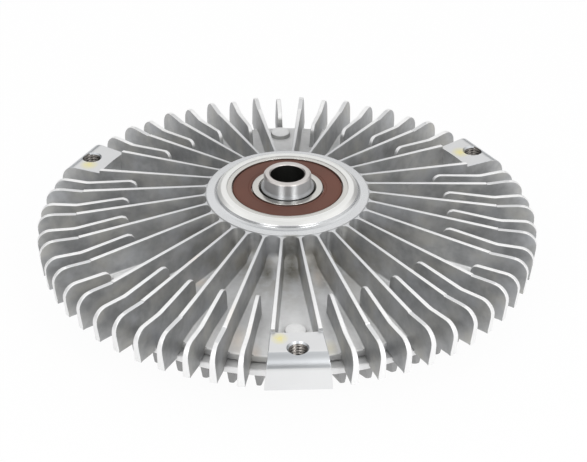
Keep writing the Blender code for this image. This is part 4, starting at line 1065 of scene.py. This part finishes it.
# %% Seal
SEAL_INNER, SEAL_OUTER = 14.85, 22.7
SEAL_SINK = 0.35
seal_top = BEARING_TOP_Z - SEAL_SINK
seal_profile = rounded(
    [
        (SEAL_OUTER, seal_top - 0.6, 0.1),
        (SEAL_OUTER, seal_top - 1.0, 0.2),
        (SEAL_INNER, seal_top - 1.0, 0.2),
        (SEAL_INNER, seal_top - 0.1, 0.15),
        (SEAL_INNER + 0.5, seal_top, 0.2),
        (SEAL_INNER + 1.0, seal_top, 0.1),
        (SEAL_INNER + 1.2, seal_top - 0.18, 0.1),
        (SEAL_INNER + 1.4, seal_top, 0.1),
        (SEAL_OUTER - 1.3, seal_top, 0.2),
        (SEAL_OUTER - 1.1, seal_top - 0.15, 0.2),
        (SEAL_OUTER - 0.9, seal_top, 0.15),
        (SEAL_OUTER - 0.45, seal_top - 0.05, 0.2),
        (SEAL_OUTER - 0.4, seal_top - 0.6, 0.1),
    ]
)
seal = new_object("top_seal", *turn(seal_profile, TURNED_STEPS))
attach(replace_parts(seal, "bearing_seal_top"), "housing")
print("seal:", len(seal.data.polygons), "faces")

# %% [markdown]
# ## Materials
# The finishes are made from noise in the piece's own space, so each stays on its piece
# when the clutch turns. These helpers each add one node, so that a finish reads as a
# short recipe.

# %% Material helpers


def new_material(name):
    mat = bpy.data.materials.new(name)
    mat.use_nodes = True
    return mat, mat.node_tree, mat.node_tree.nodes["Principled BSDF"]


def feed(tree, value, socket):
    """Link a value to a socket, or set the socket if it is a plain number or colour."""
    if isinstance(value, tuple):
        socket.default_value = (*value, 1)
    elif isinstance(value, (int, float)):
        socket.default_value = value
    else:
        tree.links.new(value, socket)


def maths(tree, operation, first, second):
    node = tree.nodes.new("ShaderNodeMath")
    node.operation = operation
    feed(tree, first, node.inputs[0])
    feed(tree, second, node.inputs[1])
    return node.outputs[0]


def times(tree, *factors):
    total = factors[0]
    for factor in factors[1:]:
        total = maths(tree, "MULTIPLY", total, factor)
    return total


def noise(tree, coords, scale, detail=4.0):
    node = tree.nodes.new("ShaderNodeTexNoise")
    settings = {"Vector": coords, "Scale": scale, "Detail": detail, "Roughness": 0.55}
    for name, value in settings.items():
        feed(tree, value, node.inputs[name])
    return node.outputs["Fac"]


def spread(tree, value, low, high, out_low=0.0, out_high=1.0):
    """Stretch the range from low to high over another range, and hold its ends."""
    node = tree.nodes.new("ShaderNodeMapRange")
    names = ("Value", "From Min", "From Max", "To Min", "To Max")
    for name, given in zip(names, (value, low, high, out_low, out_high)):
        feed(tree, given, node.inputs[name])
    return node.outputs["Result"]


def mix(tree, share, first, second):
    node = tree.nodes.new("ShaderNodeMix")
    node.data_type = "RGBA"
    for name, given in (("Factor", share), ("A", first), ("B", second)):
        feed(tree, given, node.inputs[name])
    return node.outputs["Result"]


def bump(tree, shader, height, distance):
    node = tree.nodes.new("ShaderNodeBump")
    feed(tree, distance, node.inputs["Distance"])
    feed(tree, height, node.inputs["Height"])
    tree.links.new(node.outputs["Normal"], shader.inputs["Normal"])


print("helpers for shader nodes are ready")

# %% [markdown]
# A plain metal's colour and gloss wander a little, because no real surface has one even
# value. On a turned face the highlight also stretches across the fine rings that the
# tool left. Rubber and plastic use the same recipe without the metal.

# %% Plain finishes


def along_turning(tree, shader, strength):
    """Stretch the gloss across the fine rings that a lathe leaves."""
    tangent = tree.nodes.new("ShaderNodeTangent")
    tangent.direction_type = "RADIAL"
    tangent.axis = "Z"
    tree.links.new(tangent.outputs[0], shader.inputs["Tangent"])
    shader.inputs["Anisotropic"].default_value = strength
    shader.inputs["Anisotropic Rotation"].default_value = 0.25


def metal(name, dark, light, rough, grain, metallic=1.0, turned=0.0):
    """A finish between two colours and two roughnesses; grain is its size and depth in mm."""
    mat, tree, shader = new_material(name)
    coords = tree.nodes.new("ShaderNodeTexCoord").outputs["Object"]
    cloud = noise(tree, coords, 28.0)
    colour = mix(tree, spread(tree, cloud, 0.35, 0.65), dark, light)
    feed(tree, colour, shader.inputs["Base Color"])
    feed(tree, spread(tree, cloud, 0.3, 0.7, *rough), shader.inputs["Roughness"])
    feed(tree, metallic, shader.inputs["Metallic"])
    bump(tree, shader, noise(tree, coords, 1 / (grain[0] * MM), 3.0), grain[1] * MM)
    if turned:
        along_turning(tree, shader, turned)
    return mat


FINE, PLAIN, SHEET = (0.3, 0.006), (0.4, 0.01), (0.5, 0.01)
ring_steel = metal("bearing steel", (0.66, 0.65, 0.62), (0.73, 0.72, 0.69), (0.24, 0.32), FINE)
end_steel = metal("turned steel", (0.66, 0.63, 0.61), (0.74, 0.71, 0.69), (0.28, 0.36), FINE)
sheet = metal("sheet steel", (0.48, 0.48, 0.47), (0.56, 0.56, 0.55), (0.3, 0.4), SHEET)
bimetal = metal("bimetal", (0.50, 0.41, 0.27), (0.58, 0.49, 0.34), (0.3, 0.42), SHEET)
zinc = metal("zinc plating", (0.52, 0.52, 0.47), (0.62, 0.62, 0.58), (0.3, 0.4), PLAIN)
# The stub's bore and the hidden faces under its flare get a near-black steel: painted shade.
shaded_bore_steel = metal("bore, painted shade", (0.09, 0.09, 0.085), (0.15, 0.15, 0.14), (0.4, 0.5), PLAIN)
ground = metal(
    "ground steel", (0.60, 0.61, 0.62), (0.66, 0.67, 0.68), (0.44, 0.5), (0.3, 0.002), 1.0, 1.0
)
red_rubber = metal(
    "red-brown rubber", (0.105, 0.033, 0.018), (0.14, 0.048, 0.029), (0.5, 0.6), (0.4, 0.02), 0.0
)
black_rubber = metal(
    "black rubber", (0.017, 0.017, 0.017), (0.026, 0.026, 0.026), (0.5, 0.6), PLAIN, 0.0
)
plastic = metal("wiper plastic", (0.62, 0.57, 0.46), (0.70, 0.65, 0.54), (0.4, 0.5), PLAIN, 0.0)
print("ten plain finishes")

# %% [markdown]
# The castings carry more history than the steel parts. The flanks of the fins keep the grey
# skin of the mould, and the faces that look up get a lighter grey of painted light, more of
# it towards the rim. The floor near the hub has brown oil stains. Inspectors' paint dabs
# are left on the lugs. Their places are tables of soft round spots.

# %% Stains and spots
OIL_STAINS = (  # x, y and half sizes across and along the bay, in mm
    (-0.2, -38.0, 2.6, 5.5),
    (0.2, -36.5, 1.0, 3.4),
    (-9.4, -40.0, 1.5, 3.0),
)
WARM_TINTS = (
    (-22.2, -79.0, 2.6, 5.0),
    (-15.6, -86.0, 1.6, 3.0),
    (-36.3, -43.4, 3.0, 2.0),
    (10.5, -42.0, 1.6, 4.0),
)
LUG_DABS = (
    (-6.6, -89.8, 2.0, 2.4),
    (-84.0, 41.6, 2.4, 2.4),
    (77.6, 46.6, 2.4, 2.6),
)
FLOOR_DABS = ((12.8, -84.6, 1.8, 2.6),)


def stretched(tree, coords, scale, shift=(0.0, 0.0, 0.0)):
    node = tree.nodes.new("ShaderNodeMapping")
    node.inputs["Scale"].default_value = scale
    node.inputs["Location"].default_value = shift
    tree.links.new(coords, node.inputs["Vector"])
    return node.outputs[0]


def length_of(tree, vector):
    node = tree.nodes.new("ShaderNodeVectorMath")
    node.operation = "LENGTH"
    tree.links.new(vector, node.inputs[0])
    return node.outputs["Value"]


def spots(tree, coords, places, soft):
    """1 inside each of the soft round spots, 0 elsewhere; they reach through all heights."""
    total = 0.0
    for x, y, half_x, half_y in places:
        scale = (1 / (half_x * MM), 1 / (half_y * MM), 0)
        local = stretched(tree, coords, scale, (-x / half_x, -y / half_y, 0))
        spot = spread(tree, length_of(tree, local), 1.0 - soft, 1.0 + soft, 1.0, 0.0)
        total = maths(tree, "MAXIMUM", total, spot)
    return total


print(len(OIL_STAINS + WARM_TINTS + LUG_DABS + FLOOR_DABS), "spots")

# %% [markdown]
# Die-cast skin is built up in the order in which it came to be: bare metal first, with
# painted light on the faces that look up, then the brown film and the oil, and the paint
# on top.

# %% Cast aluminium


def skin_with_painted_top_light(tree, coords, blotch, upward, from_axis):
    """Mottled grey on the flanks, and painted light: a lighter grey on the faces that look up, most
    towards the rim.
    """
    fine = spread(tree, noise(tree, coords, 420.0, 3.0), 0.35, 0.65)
    warm = spread(tree, noise(tree, coords, 60.0, 2.0), 0.4, 0.6)
    light_skin = mix(tree, warm, (0.52, 0.53, 0.545), (0.54, 0.535, 0.51))
    skin = mix(tree, blotch, (0.38, 0.385, 0.39), light_skin)
    skin = mix(tree, times(tree, fine, 0.2), skin, (0.68, 0.68, 0.68))
    # painted light: the faces that look up get a lighter grey, growing from the hub towards the rim
    outer = spread(tree, from_axis, 0.038, 0.084)
    painted_top_light = mix(tree, outer, (0.62, 0.63, 0.64), (0.95, 0.95, 0.945))
    painted_top_light = mix(tree, times(tree, fine, 0.15), painted_top_light, (0.55, 0.55, 0.55))
    return mix(tree, upward, skin, painted_top_light)


def stained(tree, coords, colour, upward, from_axis):
    """Brown film and oil near the hub, then the warm tints and the paint on the floor."""
    place = tree.nodes.new("ShaderNodeSeparateXYZ")
    tree.links.new(coords, place.inputs[0])
    low_down = spread(
        tree, place.outputs["Z"], (RIM_Z - 9) * MM, (RIM_Z - 5) * MM, 1.0, 0.0
    )
    near_hub = spread(tree, from_axis, 0.040, 0.068, 1.0, 0.0)
    brown = spread(tree, noise(tree, coords, 130.0, 4.0), 0.45, 0.62, 0.0, 0.5)
    colour = mix(tree, times(tree, brown, near_hub, low_down), colour, (0.36, 0.33, 0.27))
    uneven = spread(tree, noise(tree, coords, 500.0, 3.0), 0.3, 0.6, 0.45, 1.0)
    oil = times(tree, spots(tree, coords, OIL_STAINS, 0.8), uneven, 0.75)
    colour = mix(tree, oil, colour, (0.15, 0.135, 0.085))
    tint = times(tree, spots(tree, coords, WARM_TINTS, 0.9), upward, 0.45)
    colour = mix(tree, tint, colour, (0.96, 0.82, 0.68))
    paint = times(tree, spots(tree, coords, FLOOR_DABS, 0.9), upward, 0.5)
    return mix(tree, paint, colour, (0.98, 0.92, 0.66))


def cast_aluminium():
    mat, tree, shader = new_material("cast aluminium")
    coords = tree.nodes.new("ShaderNodeTexCoord").outputs["Object"]
    facing = tree.nodes.new("ShaderNodeSeparateXYZ")
    normal = tree.nodes.new("ShaderNodeNewGeometry").outputs["Normal"]
    tree.links.new(normal, facing.inputs[0])
    upward = spread(tree, facing.outputs["Z"], 0.3, 0.8)
    from_axis = length_of(tree, stretched(tree, coords, (1, 1, 0)))
    blotch = spread(tree, noise(tree, coords, 95.0, 3.0), 0.38, 0.62)
    colour = skin_with_painted_top_light(tree, coords, blotch, upward, from_axis)
    colour = stained(tree, coords, colour, upward, from_axis)
    feed(tree, colour, shader.inputs["Base Color"])
    feed(tree, spread(tree, blotch, 0, 1, 0.46, 0.56), shader.inputs["Roughness"])
    feed(tree, spread(tree, upward, 0, 1, 0.75, 0.3), shader.inputs["Metallic"])
    drawn = noise(tree, stretched(tree, coords, (1, 1, 0.12)), 700.0, 2.0)
    grain = noise(tree, coords, 1800.0, 3.0)
    height = mix(tree, times(tree, drawn, 0.5), grain, (1, 1, 1))
    bump(tree, shader, height, 0.05 * MM)
    return mat


cast = cast_aluminium()
print("cast aluminium has", len(cast.node_tree.nodes), "nodes")

# %% [markdown]
# A cut face is cleaner and shinier than cast skin, and differs with the tool: the lathe
# leaves rings, and the mill an even face.

# %% Cut faces


def machined(name, dark, light, rough, turned, metallic=1.0):
    """A face that a tool has cut: bare metal with fine grooves, and dabs of paint."""
    mat = metal(name, dark, light, rough, (0.4, 0.012), metallic, turned)
    tree = mat.node_tree
    shader = tree.nodes["Principled BSDF"]
    coords = tree.nodes.new("ShaderNodeTexCoord").outputs["Object"]
    plain = shader.inputs["Base Color"].links[0].from_socket
    patchy = spread(tree, noise(tree, coords, 900.0, 2.0), 0.3, 0.6, 0.55, 0.9)
    paint = times(tree, spots(tree, coords, LUG_DABS, 0.8), patchy)
    feed(tree, mix(tree, paint, plain, (0.95, 0.86, 0.36)), shader.inputs["Base Color"])
    return mat


# The cover's cast grey is darker than the housing's: painted shade, for the cover that lies low
# under the housing.
shaded_cover_cast = metal(
    "cover casting, painted shade", (0.30, 0.30, 0.30), (0.40, 0.40, 0.40), (0.45, 0.55), (0.5, 0.03), 0.6
)
hub_face = machined("turned rim", (0.70, 0.71, 0.72), (0.78, 0.79, 0.80), (0.22, 0.30), 0.4)
# The collar is turned like the rim; its near-white warm grey is painted light.
collar = machined("turned collar, painted light", (0.92, 0.92, 0.90), (0.96, 0.96, 0.94), (0.3, 0.38), 0.5)
milled = machined("milled faces", (0.78, 0.785, 0.79), (0.84, 0.845, 0.85), (0.3, 0.38), 0.3)
# The lug's outer round is cut like its top; its darker bluish grey is painted shade.
shaded_lug_round = machined("turned lug edge, painted shade", (0.60, 0.62, 0.64), (0.68, 0.70, 0.72), (0.28, 0.36), 0.3)
bright_edge = machined("turned edges", (0.87, 0.87, 0.87), (0.92, 0.92, 0.92), (0.4, 0.5), 0.0, 0.4)
# The threads in the lug holes get a dark grey: painted shade in the holes.
thread = metal("cut thread, painted shade", (0.14, 0.13, 0.12), (0.25, 0.235, 0.22), (0.25, 0.35), PLAIN)
print("seven more aluminium finishes")

# %% [markdown]
# Cast and turned faces of one casting differ, so the housing has its cast finish and
# several cut ones, and the faces that a tool has cut are found by where they lie.

# %% Find the cut faces
CAST, HUB, COLLAR, MILLED, EDGE, THREAD, LUG_EDGE = range(7)
GROUND, DARK, TURNED_END = range(3)


def near_lug(x, y):
    """Degrees from the middle of the nearest fan lug."""
    return abs((math.degrees(math.atan2(y, x)) + 90 + 60) % 120 - 60)


def in_lug_hole(face):
    """Whether all corners of a face lie in the thread of one lug hole."""
    corners = [housing.data.vertices[i].co / MM for i in face.vertices]
    for place in on_circle(LUG_HOLE_CIRCLE, 3):
        reach = max(math.dist(corner[:2], place) for corner in corners)
        if reach < LUG_HOLE_RADIUS + THREAD_DEPTH + 0.1:
            return True
    return False


def housing_finish(face):
    x, y, z = face.center / MM
    r = math.hypot(x, y)
    outward = (face.normal.x * x + face.normal.y * y) / r
    # the collar takes the painted light
    if r < HUB_SHOULDER_RADIUS - 0.2 and z > RIM_Z:
        return COLLAR
    if r < HUB_RADIUS - 0.3 and z > RIM_Z - 0.5:
        return HUB
    if r < LUG_INNER - 0.2:
        return CAST
    # the thread in the lug holes takes the painted shade
    if face.normal.z < 0.9 and in_lug_hole(face):
        return THREAD
    on_lug = near_lug(x, y) < MILL_HALF_ANGLE and z > LUG_TOP_Z - LUG_ROUND - 0.5
    level = abs(z - LUG_TOP_Z) < 0.05 or abs(z - (RIM_Z - TURNED_DROP)) < 0.05
    if face.normal.z > 0.99 and level:
        return MILLED
    # the lug's round takes the painted shade
    if on_lug and face.normal.z > 0.35 and r > LUG_INNER + 1:
        return LUG_EDGE
    if near_lug(x, y) < MILL_HALF_ANGLE and outward > 0.35 and r > RIM_RADIUS + 8:
        return MILLED
    if outward > 0.35 and r > RIM_RADIUS + 2:
        return EDGE
    return CAST


def cover_finish(face):
    """1 for the turned flange, 0 for the rest of the cover, whose darker grey is painted shade."""
    corners = [cover.data.vertices[i].co / MM for i in face.vertices]
    reach = max(math.hypot(corner.x, corner.y) for corner in corners)
    return int(reach > RIM_RADIUS - 1 and face.center.z / MM > FLANGE_Z - 0.1)


def stub_finish(face):
    x, y, z = face.center / MM
    r = math.hypot(x, y)
    in_bore = r < STUB_BORE_RADIUS + 0.02 and z < STUB_TOP_Z - 0.6
    under_flare = r > STUB_RADIUS and COLLAR_Z < z < BEARING_TOP_Z - 0.2
    if z > STUB_TOP_Z - 0.7 and not in_bore:
        return TURNED_END
    # the bore and the faces under the flare take the painted shade
    if in_bore and z > ROTOR_Z + 0.5 or under_flare:
        return DARK
    return GROUND


print("the first face's finish is number", housing_finish(housing.data.polygons[0]))

# %% [markdown]
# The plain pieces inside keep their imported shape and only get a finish.

# %% Give each piece its finish


def set_materials(obj, materials, finish=None):
    obj.data.materials.clear()
    for mat in materials:
        obj.data.materials.append(mat)
    if finish:
        for face in obj.data.polygons:
            face.material_index = finish(face)


housing_materials = (cast, hub_face, collar, milled, bright_edge, thread, shaded_lug_round)
set_materials(housing, housing_materials, housing_finish)
set_materials(cover, (shaded_cover_cast, bright_edge), cover_finish)
set_materials(stub, (ground, shaded_bore_steel, end_steel), stub_finish)
set_materials(outer_ring, (ring_steel,))
set_materials(inner_ring, (ring_steel,))
set_materials(seal, (red_rubber,))
node_finish = {
    "rotor": cast,
    "bearing_cage": sheet,
    "bearing_seal_bottom": red_rubber,
    "separator_plate": sheet,
    "valve_arm": sheet,
    "bimetal_spindle": ground,
    "spindle_seal_ring": black_rubber,
    "bimetal_coil": bimetal,
    "housing_seal_ring": black_rubber,
    "pump_wiper": plastic,
}
for name, obj in frame["nodes"].items():
    mat = node_finish.get(name)
    if name.startswith("bearing_ball"):
        mat = ring_steel
    if name.startswith("cover_screw"):
        mat = zinc
    if mat:
        set_materials(obj, (mat,))
print("finishes are set")

# %% [markdown]
# ## Camera
# The photograph was taken from above the front lug with a long lens, so the far and near
# fins have almost the same size. The camera stands where the fins, the lugs and the stub
# of the model fall on those of the photograph.

# %% Camera
CAMERA_ELEVATION = 31.1252
CAMERA_AZIMUTH = -2.4342
CAMERA_DISTANCE = 764.376
CAMERA_AIM_Z = 42.0
PAN, TILT, ROLL = -0.19114, -1.22754, 0.2006
FOCAL_PIXELS, PICTURE_WIDTH, SENSOR = 1856.117, 587, 36.0

elevation = math.radians(CAMERA_ELEVATION)
azimuth = math.radians(CAMERA_AZIMUTH)
back = Vector(
    (
        math.sin(azimuth) * math.cos(elevation),
        -math.cos(azimuth) * math.cos(elevation),
        math.sin(elevation),
    )
)
right = Vector((math.cos(azimuth), math.sin(azimuth), 0))
up = back.cross(right)
camera_place = back * CAMERA_DISTANCE + Vector((0, 0, CAMERA_AIM_Z))
pan = Quaternion(up, math.radians(PAN))
back, right = pan @ back, pan @ right
tilt = Quaternion(right, math.radians(TILT))
back, up = tilt @ back, tilt @ up
roll = Quaternion(back, math.radians(ROLL))
right, up = roll @ right, roll @ up

camera_data = bpy.data.cameras.new("camera")
camera_data.sensor_width = SENSOR
camera_data.lens = FOCAL_PIXELS / PICTURE_WIDTH * SENSOR
camera_data.clip_end = 20.0
camera = bpy.data.objects.new("camera", camera_data)
bpy.context.scene.collection.objects.link(camera)
axes = Matrix((right, up, back)).transposed().to_4x4()
camera.matrix_world = Matrix.Translation(camera_place * MM) @ axes
bpy.context.scene.camera = camera
print("lens", round(camera_data.lens, 1), "mm")

# %% [markdown]
# ## Floor and light
# The photograph has a plain white ground. The floor looks white to the camera and in
# mirroring metal, but keeps a trace of the shadow.

# %% Floor
FLOOR_SIZE = 60000.0
FLOOR_WHITE = 0.96  # share of plain white; the rest of the floor keeps the shadow


def background_rays(tree):
    """1 for the rays that show the background: seen, mirrored or through glass."""
    path = tree.nodes.new("ShaderNodeLightPath").outputs
    total = maths(tree, "ADD", path["Is Camera Ray"], path["Is Glossy Ray"])
    return maths(tree, "ADD", total, path["Is Transmission Ray"])


def floor_paint():
    mat, tree, shader = new_material("floor")
    shader.inputs["Base Color"].default_value = (0.9, 0.9, 0.9, 1)
    shader.inputs["Roughness"].default_value = 0.9
    shader.inputs["Specular IOR Level"].default_value = 0.0
    glow = tree.nodes.new("ShaderNodeEmission")
    glow.inputs["Strength"].default_value = 1.0
    blend = tree.nodes.new("ShaderNodeMixShader")
    share = spread(tree, background_rays(tree), 0, 1, 0, FLOOR_WHITE)
    for value, socket in zip((share, shader.outputs[0], glow.outputs[0]), blend.inputs):
        tree.links.new(value, socket)
    tree.links.new(blend.outputs[0], tree.nodes["Material Output"].inputs["Surface"])
    return mat


corners = ((-1, -1), (1, -1), (1, 1), (-1, 1))
floor_corners = [(x * FLOOR_SIZE, y * FLOOR_SIZE, 0) for x, y in corners]
floor = new_object("floor", floor_corners, [[0, 1, 2, 3]])
set_materials(floor, (floor_paint(),))

print("floor is", FLOOR_WHITE, "white")

# %% [markdown]
# The light comes softly from all round, as in a light tent. Round the clutch the tent has
# bright sheets with darker gaps between them, which the fins mirror as soft bands, and it
# is a little darker straight above.

# %% Light tent
TENT_RING = (  # degrees round from the camera, to the right, and the light from there
    *((-180, 0.80), (-150, 0.60), (-130, 0.14), (-60, 0.10)),
    *((-46, 0.35), (-40, 1.00), (-22, 1.00), (-16, 0.22)),
    *((16, 0.22), (22, 1.00), (42, 1.00), (50, 0.78)),
    *((95, 0.65), (140, 0.35), (160, 0.65), (180, 0.80)),
)
TOP_LIGHT = 0.72  # straight above, where the tent has no lamp
BACK_LOW_LIGHT = 0.45  # behind the clutch, near the table
PAST_FLOOR = (0.8, 0.8, 0.8)  # the pale grey that the camera sees above the floor's edge


def ring_light(tree, split):
    """The light of the tent's sheets, by the direction in the level plane."""
    toward_camera = maths(tree, "MULTIPLY", split["Y"], -1.0)
    round_about = maths(tree, "ARCTAN2", split["X"], toward_camera)
    ramp = tree.nodes.new("ShaderNodeValToRGB")
    tree.links.new(spread(tree, round_about, -math.pi, math.pi), ramp.inputs[0])
    stops = ramp.color_ramp.elements
    while len(stops) < len(TENT_RING):
        stops.new(1.0)
    for stop, (degrees, value) in zip(stops, TENT_RING):
        stop.position = (degrees + 180) / 360
        stop.color = (value, value, value, 1)
    to_back = spread(tree, split["Y"], 0.2, 0.7)
    near_table = spread(tree, split["Z"], 0.1, 0.45, 1.0 - BACK_LOW_LIGHT, 0.0)
    dimmed = maths(tree, "SUBTRACT", 1.0, times(tree, to_back, near_table))
    return times(tree, ramp.outputs["Color"], dimmed)


def light_tent():
    world = bpy.data.worlds.new("tent")
    world.use_nodes = True
    tree = world.node_tree
    node = tree.nodes.new("ShaderNodeSeparateXYZ")
    direction = tree.nodes.new("ShaderNodeTexCoord").outputs["Generated"]
    tree.links.new(direction, node.inputs[0])
    split = node.outputs
    above = spread(tree, split["Z"], 0.40, 0.60)
    overhead = spread(tree, split["Z"], 0.80, 0.93, 1.0, TOP_LIGHT)
    beside = maths(tree, "SUBTRACT", 1.0, above)
    lower = times(tree, ring_light(tree, split), beside)
    strength = maths(tree, "ADD", lower, times(tree, above, overhead))
    tent = tree.nodes["Background"]
    tree.links.new(strength, tent.inputs["Strength"])
    tent.inputs["Color"].default_value = (1, 1, 1, 1)
    pale = tree.nodes.new("ShaderNodeBackground")  # what the camera sees past the floor
    pale.inputs["Color"].default_value = (*PAST_FLOOR, 1)
    seen = tree.nodes.new("ShaderNodeLightPath").outputs["Is Camera Ray"]
    choose = tree.nodes.new("ShaderNodeMixShader")
    for value, socket in zip((seen, tent.outputs[0], pale.outputs[0]), choose.inputs):
        tree.links.new(value, socket)
    tree.links.new(choose.outputs[0], tree.nodes["World Output"].inputs["Surface"])
    return world


bpy.context.scene.world = light_tent()
print("the tent has", len(TENT_RING), "stops")

# %% [markdown]
# Two large round lamps stand high beside the camera. They light the lug faces and the fin
# ends that look toward it.

# %% Lamps
LAMP_SIZE, LAMP_Y, LAMP_Z = 0.6, -1.15, 0.95


def area_lamp(name, x, watts):
    data = bpy.data.lights.new(name, "AREA")
    data.shape = "DISK"
    data.size = LAMP_SIZE
    data.energy = watts
    lamp = bpy.data.objects.new(name, data)
    bpy.context.scene.collection.objects.link(lamp)
    lamp.location = (x, LAMP_Y, LAMP_Z)
    lamp.rotation_euler = (-lamp.location).to_track_quat("-Z", "Y").to_euler()
    return lamp


lamps = [area_lamp("left lamp", -0.70, 5.0), area_lamp("right lamp", 0.70, 6.0)]
print(len(lamps), "lamps of", [lamp.data.energy for lamp in lamps], "watts")

# %% [markdown]
# ## Finish the run

# %% Finish
bpy.context.scene.view_settings.view_transform = "Standard"
